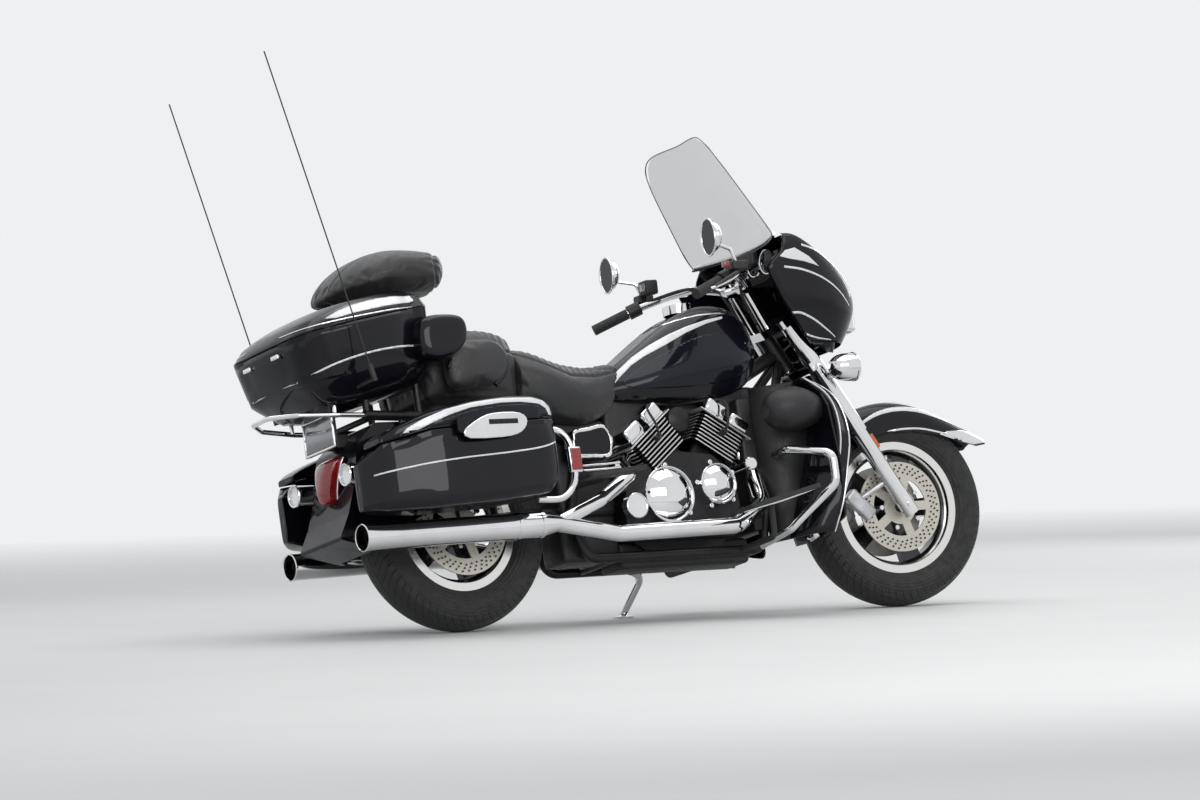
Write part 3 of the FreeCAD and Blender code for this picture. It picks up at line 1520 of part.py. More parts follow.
def build():
    place = stance()
    nodes = {}
    frame = make_frame()
    nodes["frame"] = frame
    nodes["swingarm"] = make_swingarm()
    nodes["engine_case"] = make_engine_case()
    nodes["cylinders_front"] = make_cylinders(FRONT_BANK_DEG)
    nodes["cylinders_rear"] = make_cylinders(REAR_BANK_DEG)
    nodes["head_covers"] = make_head_covers()
    nodes["engine_covers"] = make_engine_covers()
    nodes["intake"] = make_intake()
    nodes["radiator"] = make_radiator()
    nodes["fuel_tank"] = make_tank()
    nodes["tank_console"] = make_tank_console(nodes["fuel_tank"])
    nodes["rider_seat"] = make_rider_seat()
    nodes["passenger_seat"] = make_passenger_seat()
    nodes["side_covers"] = make_side_covers(frame)
    nodes["saddlebag_right"] = make_saddlebag()
    nodes["saddlebag_left"] = mirrored(nodes["saddlebag_right"])
    nodes["bag_lid_right"] = make_bag_lid()
    nodes["bag_lid_left"] = mirrored(nodes["bag_lid_right"])
    nodes["rear_fender"] = make_rear_fender()
    nodes["tail_lamp"] = make_tail_lamp(nodes["rear_fender"])
    nodes["rear_signals"] = make_rear_signals(nodes["rear_fender"])
    nodes["plate_holder"] = make_plate_holder(nodes["rear_fender"])
    nodes["exhaust_right"] = make_exhaust()
    nodes["exhaust_left"] = mirrored(nodes["exhaust_right"])
    nodes["footboards"] = make_footboards(frame)
    nodes["crash_guards"] = make_guards(frame)
    nodes["leg_shields"] = make_leg_shields(frame)
    nodes["lower_pods"] = make_pods()
    nodes["fairing"] = make_fairing()
    nodes["windshield"] = make_windshield()
    nodes["headlamp"] = make_headlamp()
    nodes["dashboard"] = make_dashboard(nodes["fairing"])
    nodes["trunk_body"] = make_trunk_body()
    nodes["trunk_lid"] = make_trunk_lid()
    nodes["backrest_pad"] = make_backrest()
    nodes["armrests"] = make_armrests()
    nodes["trunk_rack"] = make_rack(frame)
    nodes["antennas"] = make_antennas()
    nodes["side_stand"] = make_side_stand(place)
    nodes["rear_tyre"] = tyre(
        WHEEL_REAR, REAR_TYRE_R, REAR_TYRE_HALF, REAR_CROWN_DROP, REAR_CROWN_HALF,
        REAR_BEAD_R, REAR_FLANGE_R,
    )
    hub_right = REAR_DISC_Y - DISC_THICK / 2.0 - FIT_GAP
    nodes["rear_rim"] = wheel_rim(WHEEL_REAR, REAR_BEAD_R, REAR_FLANGE_R, -hub_right, 91.0)
    nodes["rear_disc"] = brake_disc(WHEEL_REAR, REAR_DISC_R, -REAR_DISC_Y)
    fork = make_fork()
    nodes["fork"] = steered(fork)
    nodes["fork_covers"] = steered(make_fork_covers())
    nodes["front_fender"] = steered(make_front_fender())
    nodes["front_calipers"] = steered(make_calipers())
    nodes["handlebar"] = steered(make_handlebar(fork))
    nodes["grips"] = steered(make_grips())
    controls = make_hand_controls()
    nodes["hand_controls"] = steered(controls)
    nodes["mirrors"] = steered(make_mirrors(controls))
    nodes["passing_lamps"] = steered(make_passing_lamps())
    nodes["front_tyre"] = steered(
        tyre(
            WHEEL_FRONT, FRONT_TYRE_R, FRONT_TYRE_HALF, FRONT_CROWN_DROP, FRONT_CROWN_HALF,
            FRONT_BEAD_R, FRONT_FLANGE_R,
        )
    )
    hub_half = FRONT_DISC_Y - DISC_THICK / 2.0 - FIT_GAP
    front_rim = wheel_rim(WHEEL_FRONT, FRONT_BEAD_R, FRONT_FLANGE_R, -hub_half, hub_half)
    nodes["front_rim"] = steered(front_rim)
    discs = [brake_disc(WHEEL_FRONT, FRONT_DISC_R, side * FRONT_DISC_Y) for side in (-1.0, 1.0)]
    nodes["front_discs"] = steered(Part.makeCompound(discs))
    return nodes, place


def mesh_bounds(shapes):
    box = FreeCAD.BoundBox()
    for shape in shapes:
        for point in shape.tessellate(0.3)[0]:
            box.add(point)
    return box


def export(nodes, place):
    os.makedirs("parts", exist_ok=True)
    placed = {}
    for name, shape in nodes.items():
        shape = shape.copy()
        shape.Placement = place.multiply(shape.Placement)
        placed[name] = shape
    box = mesh_bounds(placed.values())
    shift = V(-(box.XMin + box.XMax) / 2.0, -(box.YMin + box.YMax) / 2.0, -box.ZMin)
    for name, shape in placed.items():
        shape.translate(shift)
        shape.exportStep("parts/" + name + ".step")
        print(name, len(shape.Solids), shape.isValid(), round(shape.Volume / 1e3, 1))
    whole = FreeCAD.Placement(shift, FreeCAD.Rotation()).multiply(place)
    print("PLACE", list(whole.Base), list(whole.Rotation.Q))
    print("BOX", box.XLength, box.YLength, box.ZLength)


NODES, PLACE = build()
export(NODES, PLACE)
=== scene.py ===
"""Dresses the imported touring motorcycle: paint, chrome, leather, lamps, tread and small parts."""

import math

import bmesh
import bpy
from mathutils import Matrix, Quaternion, Vector
from mathutils.bvhtree import BVHTree
from mathutils.geometry import interpolate_bezier


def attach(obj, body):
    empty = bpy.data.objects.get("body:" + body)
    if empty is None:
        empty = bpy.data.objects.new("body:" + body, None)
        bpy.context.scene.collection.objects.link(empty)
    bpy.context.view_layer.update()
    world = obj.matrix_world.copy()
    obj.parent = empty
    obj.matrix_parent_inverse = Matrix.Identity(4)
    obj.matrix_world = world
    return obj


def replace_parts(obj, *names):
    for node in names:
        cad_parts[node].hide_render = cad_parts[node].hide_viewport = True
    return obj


bl_info = {
    "name": "Touring motorcycle dresser",
    "version": (1, 0, 0),
    "blender": (4, 5, 0),
    "location": "3D View > Sidebar > Tourer",
    "description": "Dresses the touring motorcycle's frame with finishes, trim, seats, lamps and small parts",
    "category": "Object",
}

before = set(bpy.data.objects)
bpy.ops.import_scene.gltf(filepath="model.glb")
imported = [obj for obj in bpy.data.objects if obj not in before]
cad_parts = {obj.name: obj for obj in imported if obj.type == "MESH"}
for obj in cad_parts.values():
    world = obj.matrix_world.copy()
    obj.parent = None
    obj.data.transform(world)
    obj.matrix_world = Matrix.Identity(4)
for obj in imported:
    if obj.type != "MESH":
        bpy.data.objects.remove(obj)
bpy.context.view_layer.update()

# Directions and places of the upright machine, in millimetres: X ahead, Y to its left, Z up
MILLIMETRE = Matrix.Scale(0.001, 4)
AHEAD = Vector((1.0, 0.0, 0.0))
ACROSS = Vector((0.0, 1.0, 0.0))
UP = Vector((0.0, 0.0, 1.0))
SIDES = (-1.0, 1.0)
BOTH = tuple(zip(SIDES, ("right", "left")))
FRONT_WHEEL = Vector((1705.0, 0.0, 323.0))
REAR_WHEEL = Vector((0.0, 0.0, 325.5))
CRANK = Vector((866.0, 0.0, 390.0))
BANKS = {"front": 33.0, "rear": -37.0}

# How that machine is set down on its side stand, and how far its bar is turned
STANCE = Matrix.Translation((-0.71183084, -0.19526565, 0.00252684)) @ Quaternion(
    (0.99452170, -0.10452845, -0.00050037, 0.00005259)
).to_matrix().to_4x4()
STEER_AT = Vector((1673.1, 0.0, 304.2))
STEER_DIR = Vector((-0.5075, 0.0, 0.8616))
STEER_AHEAD = Vector((0.8616, 0.0, 0.5075))
PARKED_TURN = Matrix.Rotation(math.radians(-8.4), 4, STEER_DIR)
STEER_TURN = Matrix.Translation(STEER_AT) @ PARKED_TURN @ Matrix.Translation(-STEER_AT)
STEER_IN_METRES = MILLIMETRE @ STEER_TURN @ MILLIMETRE.inverted()
STEERED_BODIES = ("steering", "front_wheel")

# Points that lie closer than this are one point
WELD = 0.02
# Edges that turn by more than this stay sharp
SHARP_DEG = 38.0
# How far a skin stands off the node under it
SKIN_LIFT = 1.2
# From how far out trim is dropped onto the side of the machine
FAR_OUT = 900.0

# The finishes and the skins made so far, by name and by the node they lie on
FINISH = {}
SKINS = {}


class TourerSizes(bpy.types.PropertyGroup):
    """Sizes of the trim and small parts."""

    stripe_thick: bpy.props.FloatProperty(
        name="Stripe thickness", description="Build of the painted stripes", default=0.0004, unit="LENGTH"
    )
    beading: bpy.props.FloatProperty(
        name="Beading", description="Width of the bright beading lines", default=0.005, unit="LENGTH"
    )
    pleat_pitch: bpy.props.FloatProperty(
        name="Pleat pitch", description="Distance between the gathered pleats", default=0.026, unit="LENGTH"
    )
    pleat_depth: bpy.props.FloatProperty(
        name="Pleat depth", description="Depth of the gathered pleats", default=0.0014, unit="LENGTH"
    )
    disc_hole: bpy.props.FloatProperty(
        name="Disc hole", description="Radius of the holes drilled in the brake discs", default=0.0032,
        unit="LENGTH",
    )
    floor_radius: bpy.props.FloatProperty(
        name="Floor radius", description="Radius of the studio floor", default=30.0, unit="LENGTH"
    )
    lens: bpy.props.FloatProperty(
        name="Lens", description="Focal length of the camera", default=180.73, min=1.0, subtype="NONE"
    )


class TourerColours(bpy.types.PropertyGroup):
    """Colours of the finishes."""

    paint: bpy.props.FloatVectorProperty(
        name="Paint", description="Deep black body paint", subtype="COLOR", size=3,
        default=(0.003, 0.003, 0.006),
    )
    panel: bpy.props.FloatVectorProperty(
        name="Inner panels", description="Dark blue of the inner panels", subtype="COLOR", size=3,
        default=(0.004, 0.005, 0.011),
    )
    stripe: bpy.props.FloatVectorProperty(
        name="Stripes", description="Silver white of the stripes", subtype="COLOR", size=3,
        default=(0.74, 0.75, 0.76),
    )
    chrome: bpy.props.FloatVectorProperty(
        name="Chrome", description="Tint of the chrome", subtype="COLOR", size=3, default=(0.80, 0.80, 0.81)
    )
    leather: bpy.props.FloatVectorProperty(
        name="Leather", description="Seat covering", subtype="COLOR", size=3, default=(0.012, 0.012, 0.013)
    )
    rubber: bpy.props.FloatVectorProperty(
        name="Rubber", description="Tyres and grips", subtype="COLOR", size=3, default=(0.018, 0.018, 0.018)
    )
    disc: bpy.props.FloatVectorProperty(
        name="Brake discs", description="Pale steel of the discs", subtype="COLOR", size=3,
        default=(0.66, 0.63, 0.56),
    )
    red: bpy.props.FloatVectorProperty(
        name="Red lenses", description="Tail lamp and reflectors", subtype="COLOR", size=3,
        default=(0.42, 0.006, 0.012),
    )
    amber: bpy.props.FloatVectorProperty(
        name="Amber", description="Fork reflectors", subtype="COLOR", size=3, default=(0.85, 0.16, 0.01)
    )


def sizes():
    """The sizes that the user can change, in metres."""
    return bpy.context.scene.tourer_sizes


def millimetres(length):
    """A length in metres, in the millimetres of the shapes."""
    return length * 1000.0


def tint(key):
    """A colour that the user can change."""
    return tuple(getattr(bpy.context.scene.tourer_colours, key))


def shade(rgb, gain, lift=0.0):
    """A lighter or darker colour beside a given one."""
    return tuple(min(1.0, part * gain + lift) for part in rgb)


# Finishes


class Finish:
    """A small hand for wiring a finish: each call adds one node and returns its output."""

    def __init__(self, name, rough, metal=0.0, coat=0.0, coat_rough=0.03, sheen=0.0):
        self.material = bpy.data.materials.new(name)
        self.material.use_nodes = True
        self.tree = self.material.node_tree
        self.shader = self.tree.nodes["Principled BSDF"]
        self.put("Roughness", rough)
        self.put("Metallic", metal)
        self.put("Coat Weight", coat)
        self.put("Coat Roughness", coat_rough)
        self.put("Sheen Weight", sheen)
        self.put("IOR", 1.5)
        self.place = self.tree.nodes.new("ShaderNodeTexCoord").outputs["Object"]

    def put(self, socket, value):
        """Sets a plain input of the shader."""
        self.shader.inputs[socket].default_value = value

    def wire(self, output, node, socket):
        """Links an output to a node's input."""
        self.tree.links.new(output, node.inputs[socket])

    def node(self, kind, values):
        """A new node with its plain inputs set."""
        node = self.tree.nodes.new(kind)
        for socket, value in values.items():
            node.inputs[socket].default_value = value
        return node

    def noise(self, scale, detail=3.0):
        """Cloudy noise over the object."""
        node = self.node("ShaderNodeTexNoise", {"Scale": scale, "Detail": detail})
        self.wire(self.place, node, "Vector")
        return node.outputs["Fac"]

    def cells(self, scale, feature="F1"):
        """Distances in a pattern of cells."""
        node = self.node("ShaderNodeTexVoronoi", {"Scale": scale})
        node.feature = feature
        self.wire(self.place, node, "Vector")
        return node.outputs["Distance"]

    def ramp(self, fac, low, high, low_value=0.0, high_value=1.0):
        """A value that runs from one level to another between two limits."""
        values = {"From Min": low, "From Max": high, "To Min": low_value, "To Max": high_value}
        node = self.node("ShaderNodeMapRange", values)
        self.wire(fac, node, "Value")
        return node.outputs["Result"]

    def mix(self, fac, first, second):
        """A colour between two."""
        node = self.tree.nodes.new("ShaderNodeMix")
        node.data_type = "RGBA"
        node.inputs["A"].default_value = (*first, 1.0)
        node.inputs["B"].default_value = (*second, 1.0)
        self.wire(fac, node, "Factor")
        return node.outputs["Result"]

    def maths(self, operation, *values):
        """A sum on numbers or outputs."""
        node = self.tree.nodes.new("ShaderNodeMath")
        node.operation = operation
        for index, value in enumerate(values):
            if isinstance(value, (int, float)):
                node.inputs[index].default_value = value
            else:
                self.wire(value, node, index)
        return node.outputs["Value"]

    def colour(self, fac, first, second):
        """The base colour, from the first to the second."""
        self.wire(self.mix(fac, first, second), self.shader, "Base Color")

    def mottle(self, scale, detail, low, high, first, second):
        """A base colour that wanders between two tints."""
        self.colour(self.ramp(self.noise(scale, detail), low, high), first, second)

    def scuff(self, scale, detail, low, high, smooth, rough):
        """A roughness that wanders between two values."""
        self.wire(self.ramp(self.noise(scale, detail), low, high, smooth, rough), self.shader, "Roughness")

    def bump(self, height, strength, distance):
        """Bends the light as if the surface rose and fell."""
        node = self.node("ShaderNodeBump", {"Strength": strength, "Distance": distance})
        self.wire(height, node, "Height")
        self.wire(node.outputs["Normal"], self.shader, "Normal")

    def local(self, matrix):
        """Object coordinates seen from another set of axes, in millimetres."""
        turned = matrix.inverted()
        node = self.tree.nodes.new("ShaderNodeMapping")
        node.vector_type = "POINT"
        node.inputs["Location"].default_value = turned.to_translation()
        node.inputs["Rotation"].default_value = turned.to_euler("XYZ")
        node.inputs["Scale"].default_value = turned.to_scale()
        self.wire(self.place, node, "Vector")
        split = self.tree.nodes.new("ShaderNodeSeparateXYZ")
        self.wire(node.outputs["Vector"], split, "Vector")
        return split.outputs["X"], split.outputs["Y"], split.outputs["Z"]

    def wheel(self, centre, turn):
        """Radius, angle and place across of each point, about a wheel's own axle."""
        x, y, z = self.local(STANCE @ MILLIMETRE @ turn @ Matrix.Translation(centre))
        squares = self.maths("ADD", self.maths("MULTIPLY", x, x), self.maths("MULTIPLY", z, z))
        return self.maths("SQRT", squares), self.maths("ARCTAN2", z, x), y


def painted(name, rgb, flake=0.0):
    """Body paint under a clear coat."""
    coat = Finish(name, rough=0.32, metal=flake, coat=0.55, coat_rough=0.02)
    coat.put("Specular IOR Level", 0.06)
    coat.mottle(900.0, 2.0, 0.45, 0.6, rgb, shade(rgb, 1.25, 0.002))
    coat.scuff(14.0, 3.0, 0.3, 0.7, 0.26, 0.38)
    coat.bump(coat.noise(160.0, 1.0), 0.04, 0.0004)
    return coat.material


def plated(name, rgb, rough):
    """Chrome and other bright plate."""
    plate = Finish(name, rough=rough, metal=1.0)
    plate.mottle(9.0, 4.0, 0.35, 0.7, rgb, shade(rgb, 0.9))
    plate.scuff(26.0, 5.0, 0.3, 0.75, rough * 0.5, rough * 1.8)
    plate.bump(plate.noise(40.0, 2.0), 0.02, 0.0005)
    return plate.material


def grained(name, rgb):
    """Leather with a fine pebbled grain."""
    hide = Finish(name, rough=0.42, sheen=0.15)
    hide.mottle(7.0, 5.0, 0.35, 0.75, rgb, shade(rgb, 2.2, 0.006))
    hide.scuff(60.0, 4.0, 0.3, 0.7, 0.34, 0.52)
    rolls = hide.maths("MULTIPLY", hide.noise(38.0, 4.0), 1.4)
    hide.bump(hide.maths("ADD", hide.cells(420.0), rolls), 0.35, 0.0007)
    return hide.material


def moulded(name, rgb, rough, grain=700.0, depth=0.25):
    """Moulded plastic or rubber."""
    shell = Finish(name, rough=rough)
    shell.mottle(11.0, 4.0, 0.35, 0.7, rgb, shade(rgb, 1.5, 0.004))
    shell.scuff(90.0, 3.0, 0.3, 0.7, rough * 0.85, min(1.0, rough * 1.15))
    shell.bump(shell.noise(grain, 2.0), depth, 0.0004)
    return shell.material


def cast(name, rgb, rough):
    """Cast metal with a sandy skin."""
    metal = Finish(name, rough=rough, metal=0.6, coat=0.25, coat_rough=0.25)
    metal.mottle(16.0, 5.0, 0.35, 0.7, rgb, shade(rgb, 1.6, 0.004))
    metal.scuff(70.0, 3.0, 0.3, 0.7, rough * 0.8, rough * 1.2)
    metal.bump(metal.noise(420.0, 3.0), 0.3, 0.0005)
    return metal.material


def clear(name, rgb, rough, alpha, transmission):
    """Clear plastic or glass with a faint haze."""
    pane = Finish(name, rough=rough, coat=0.6)
    pane.put("Transmission Weight", transmission)
    pane.put("IOR", 1.1)
    pane.put("Alpha", alpha)
    pane.scuff(5.0, 3.0, 0.3, 0.7, rough * 0.5, rough * 1.5)
    pane.colour(pane.noise(3.0), rgb, shade(rgb, 0.96))
    return pane.material


def ribbed_lens(name, rgb, transmission):
    """A coloured lens with moulded facets."""
    lens = Finish(name, rough=0.06, coat=1.0)
    lens.put("Transmission Weight", transmission)
    ribs = lens.cells(95.0, "DISTANCE_TO_EDGE")
    lens.colour(lens.ramp(ribs, 0.0, 0.12, 1.0, 0.0), rgb, shade(rgb, 0.45))
    lens.bump(ribs, 0.5, 0.002)
    return lens.material


# Tread bars round a tyre and their slant, the groove beside its middle, where the bars start across,
# and how far under its top the tread ends
TREAD_BARS = 68.0
TREAD_SLANT = 0.035
TREAD_LINE = 12.0
TREAD_SHOULDER = (14.0, 26.0)
TREAD_DEEP = (44.0, 36.0)


def tyre_finish(name, centre, turn):
    """Black rubber with sidewall rings and slanted tread grooves, wound round the wheel's own axis; grooves
    in painted shade.
    """
    tyre = Finish(name, rough=0.72, sheen=0.1)
    maths = tyre.maths
    ring, angle, across = tyre.wheel(centre, turn)
    lane = maths("ABSOLUTE", across)
    turns = maths("MULTIPLY", angle, TREAD_BARS / math.tau)
    slant = maths("ADD", turns, maths("MULTIPLY", lane, TREAD_SLANT))
    saw = maths("ABSOLUTE", maths("SUBTRACT", maths("FRACT", slant), 0.5))
    bars = maths("MULTIPLY", tyre.ramp(saw, 0.0, 0.14, 1.0, 0.0), tyre.ramp(lane, *TREAD_SHOULDER))
    line = tyre.ramp(maths("ABSOLUTE", maths("SUBTRACT", lane, TREAD_LINE)), 1.5, 4.0, 1.0, 0.0)
    tread = tyre.ramp(ring, centre.z - TREAD_DEEP[0], centre.z - TREAD_DEEP[1])
    cut = maths("MULTIPLY", maths("MAXIMUM", bars, line), tread)
    wall = maths("MULTIPLY", maths("SINE", maths("MULTIPLY", ring, 0.55)), 0.16)
    # The tread grooves are painted near black: painted shade in the tread
    tyre.colour(cut, tint("rubber"), (0.002, 0.002, 0.002))
    tyre.scuff(50.0, 4.0, 0.3, 0.7, 0.6, 0.85)
    rubber = maths("ADD", wall, maths("MULTIPLY", tyre.noise(300.0), 0.08))
    tyre.bump(maths("SUBTRACT", rubber, cut), 0.9, 0.004)
    return tyre.material


def rim_finish(name, centre, turn, lip):
    """Polished outer lip and dark spokes."""
    rim = Finish(name, rough=0.2, metal=1.0, coat=0.3)
    ring = rim.wheel(centre, turn)[0]
    rim.colour(rim.ramp(ring, lip - 3.0, lip), (0.05, 0.05, 0.055), (0.78, 0.77, 0.75))
    rim.scuff(30.0, 4.0, 0.3, 0.7, 0.1, 0.26)
    rim.bump(rim.noise(200.0, 2.0), 0.05, 0.0004)
    return rim.material


def disc_finish(name, centre, turn):
    """Steel ground in fine rings about the axle."""
    disc = Finish(name, rough=0.3, metal=0.55)
    ring = disc.wheel(centre, turn)[0]
    turned = disc.maths("SINE", disc.maths("MULTIPLY", ring, 4.0))
    disc.colour(disc.ramp(turned, -1.0, 1.0), tint("disc"), shade(tint("disc"), 0.84))
    disc.scuff(40.0, 4.0, 0.3, 0.7, 0.24, 0.42)
    disc.bump(turned, 0.06, 0.0003)
    return disc.material


# Half the fins' length along and across a bank, and where the lowest one starts
FIN_HALF = (89.5, 142.5)
FIN_FOOT = 148.0


def bank_axes(angle_deg):
    """Axes of one cylinder bank: X along the machine, Y across, Z out from the crank."""
    return Matrix.Translation(CRANK) @ Matrix.Rotation(math.radians(angle_deg), 4, "Y")


def fin_finish(name, angle_deg):
    """Black fins whose outer edges are machined bright."""
    fins = Finish(name, rough=0.38, metal=0.7)
    *flat, height = fins.local(STANCE @ MILLIMETRE @ bank_axes(angle_deg))
    past = [fins.maths("SUBTRACT", fins.maths("ABSOLUTE", way), half) for way, half in zip(flat, FIN_HALF)]
    edge = fins.ramp(fins.maths("MAXIMUM", *past), -0.5, 0.5)
    bright = fins.maths("MULTIPLY", edge, fins.ramp(height, FIN_FOOT, FIN_FOOT + 2.0))
    fins.colour(bright, (0.010, 0.010, 0.011), (0.62, 0.62, 0.62))
    fins.scuff(80.0, 3.0, 0.3, 0.7, 0.28, 0.5)
    fins.bump(fins.noise(400.0, 3.0), 0.25, 0.0005)
    return fins.material


def make_finishes():
    """Mixes every finish that the nodes and pieces wear."""
    straight = Matrix.Identity(4)
    FINISH.update({
        "paint": painted("gloss black paint", tint("paint")),
        "panel_paint": painted("deep blue panel paint", tint("panel"), 0.3),
        "stripe_paint": painted("silver white stripe", tint("stripe"), 0.15),
        "chrome": plated("chrome plate", tint("chrome"), 0.045),
        "dark_chrome": plated("smoked plate", (0.30, 0.30, 0.32), 0.12),
        "mirror": plated("mirror glass", (0.035, 0.037, 0.042), 0.02),
        "leather": grained("black seat leather", tint("leather")),
        "cast_black": cast("black cast metal", (0.007, 0.007, 0.008), 0.46),
        "alloy": cast("satin alloy", (0.46, 0.46, 0.47), 0.3),
        "plastic": moulded("black moulded plastic", (0.007, 0.007, 0.008), 0.5),
        "rubber": moulded("soft black rubber", tint("rubber"), 0.7, 900.0, 0.4),
        # Near-black painted shade, worn by the discs' drilled holes, the latch's recess and the inside of the
        # muffler outlets
        "hole": moulded("dark recess", (0.004, 0.004, 0.004), 0.8),
        "screen": clear("clear screen", (0.05, 0.055, 0.06), 0.02, 0.2, 0.0),
        "lens": clear("lamp glass", (0.95, 0.96, 0.97), 0.03, 0.5, 0.9),
        "red_lens": ribbed_lens("red lens", tint("red"), 0.25),
        "amber_lens": ribbed_lens("amber reflector", tint("amber"), 0.1),
        "tyre_front": tyre_finish("front tyre rubber", FRONT_WHEEL, STEER_TURN),
        "tyre_rear": tyre_finish("rear tyre rubber", REAR_WHEEL, straight),
        "rim_front": rim_finish("front rim", FRONT_WHEEL, STEER_TURN, 190.0),
        "rim_rear": rim_finish("rear rim", REAR_WHEEL, straight, 178.0),
        "disc_front": disc_finish("front disc steel", FRONT_WHEEL, STEER_TURN),
        "disc_rear": disc_finish("rear disc steel", REAR_WHEEL, straight),
    })
    for word, angle_deg in BANKS.items():
        FINISH["fins_" + word] = fin_finish(word + " bank fins", angle_deg)


# Which finish each imported node gets
NODE_FINISH = {
    "paint": (
        "fuel_tank", "side_covers", "saddlebag_right", "saddlebag_left", "bag_lid_right", "bag_lid_left",
        "rear_fender", "fairing", "trunk_body", "trunk_lid", "front_fender", "leg_shields",
    ),
    "chrome": (
        "head_covers", "engine_covers", "exhaust_right", "exhaust_left", "crash_guards", "trunk_rack",
        "fork_covers", "handlebar", "mirrors", "passing_lamps", "rear_signals", "tank_console", "side_stand",
        "headlamp", "fork",
    ),
    "leather": ("rider_seat", "passenger_seat", "backrest_pad", "armrests"),
    "cast_black": ("frame", "swingarm", "engine_case", "radiator"),
    "fins_front": ("cylinders_front",),
    "fins_rear": ("cylinders_rear",),
    "plastic": ("intake", "dashboard", "lower_pods", "hand_controls", "plate_holder", "antennas"),
    "rubber": ("grips", "footboards"),
    "tyre_front": ("front_tyre",),
    "tyre_rear": ("rear_tyre",),
    "rim_front": ("front_rim",),
    "rim_rear": ("rear_rim",),
    "disc_front": ("front_discs",),
    "disc_rear": ("rear_disc",),
    "alloy": ("front_calipers",),
    "screen": ("windshield",),
    "red_lens": ("tail_lamp",),
}


# Placing pieces


def stand_of(body):
    """How pieces of a body are set down, in metres: those that steer also take the bar's turn."""
    return STANCE @ STEER_IN_METRES if body in STEERED_BODIES else STANCE


def weld(bm, gap=WELD):
    """Joins points that meet and turns the faces outward."""
    bmesh.ops.remove_doubles(bm, verts=bm.verts, dist=gap)
    bmesh.ops.recalc_face_normals(bm, faces=bm.faces)


def outward(bm, matrix):
    """Welds a piece and sets it down where the machine stands."""
    weld(bm)
    bmesh.ops.transform(bm, matrix=matrix @ MILLIMETRE, verts=bm.verts)


def into_mesh(bm, name):
    """A mesh that takes over what was built."""
    mesh = bpy.data.meshes.new(name)
    bm.to_mesh(mesh)
    bm.free()
    return mesh


def in_scene(name, data):
    """A new object in the scene."""
    item = bpy.data.objects.new(name, data)
    bpy.context.scene.collection.objects.link(item)
    return item


def place_piece(bm, name, body, finish, smooth=True):
    """Sets a piece down in its finish, and lets it ride on its body."""
    outward(bm, stand_of(body))
    mesh = into_mesh(bm, name)
    mesh.materials.append(FINISH[finish])
    piece = in_scene(name, mesh)
    if smooth:
        mesh.shade_smooth()
        mesh.set_sharp_from_angle(angle=math.radians(SHARP_DEG))
    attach(piece, body)
    return piece


def make(name, body, finish, *parts):
    """One piece out of parts: each is a shape function and what it takes after the mesh."""
    bm = bmesh.new()
    for shape, *given in parts:
        shape(bm, *given)
    return place_piece(bm, name, body, finish)


def thicken(piece, thickness, offset):
    """Gives a sheet its wall, inward at offset -1 and outward at 1."""
    wall = piece.modifiers.new("Wall", "SOLIDIFY")
    wall.thickness = thickness
    wall.offset = offset


def evaluated_mesh(source):
    """The mesh of an object with its modifiers applied."""
    graph = bpy.context.evaluated_depsgraph_get()
    graph.update()
    return bpy.data.meshes.new_from_object(source.evaluated_get(graph))


def mirrored(points, side):
    """Points of the left side, on the side that is asked for."""
    return [(x, side * y, z) for x, y, z in points]


# Shapes


def facing(at, direction):
    """Axes at a point whose Z runs along a direction."""
    return Matrix.Translation(at) @ direction.to_track_quat("Z", "Y").to_matrix().to_4x4()


def soften_edges(bm, edges, radius):
    """Rounds the given edges."""
    bmesh.ops.bevel(
        bm, geom=edges, offset=radius, offset_type="OFFSET", segments=3, profile=0.5, affect="EDGES",
        material=-1,
    )


def edges_of(made):
    """Every edge at the points that a mesh call made."""
    return list({edge for vert in made["verts"] for edge in vert.link_edges})


def add_rod(bm, start, end, radius, end_radius=None, sides=20):
    """A round rod or cone between two points."""
    start, end = Vector(start), Vector(end)
    run = end - start
    bmesh.ops.create_cone(
        bm, cap_ends=True, segments=sides, radius1=radius,
        radius2=radius if end_radius is None else end_radius, depth=run.length,
        matrix=facing((start + end) / 2.0, run),
    )


def add_box(bm, low, high, soften, turn=Matrix.Identity(4)):
    """A box between two corners with rounded edges, turned about its middle."""
    low, high = Vector(low), Vector(high)
    matrix = Matrix.Translation((low + high) / 2.0) @ turn @ Matrix.Diagonal((*(high - low), 1.0))
    made = bmesh.ops.create_cube(bm, size=1.0, matrix=matrix)
    soften_edges(bm, edges_of(made), soften)


def add_plate(bm, y, half, low, high, soften):
    """A box along the machine, from its middle and half-thickness across and its corners as (x, z)."""
    add_box(bm, (low[0], y - half, low[1]), (high[0], y + half, high[1]), soften)


def add_turned(bm, at, direction, profile, steps=40):
    """Spins a profile of (height along the axis, radius) about an axis."""
    axes = facing(Vector(at), Vector(direction))
    verts = [bm.verts.new(axes @ Vector((radius, 0.0, height))) for height, radius in profile]
    edges = [bm.edges.new(pair) for pair in zip(verts[:-1], verts[1:])]
    bmesh.ops.spin(
        bm, geom=verts + edges, cent=Vector(at), axis=Vector(direction).normalized(), dvec=(0.0, 0.0, 0.0),
        angle=math.tau, steps=steps, use_merge=True, use_duplicate=False,
    )


def add_dome(bm, at, direction, radius, rise, steps=24):
    """A shallow dome, such as a lens."""
    rim = [(-1.0, 0.01), (-1.0, radius), (0.0, radius)]
    crown = [(rise * 0.55, radius * 0.92), (rise * 0.85, radius * 0.62), (rise, 0.01)]
    add_turned(bm, at, direction, rim + crown, steps)


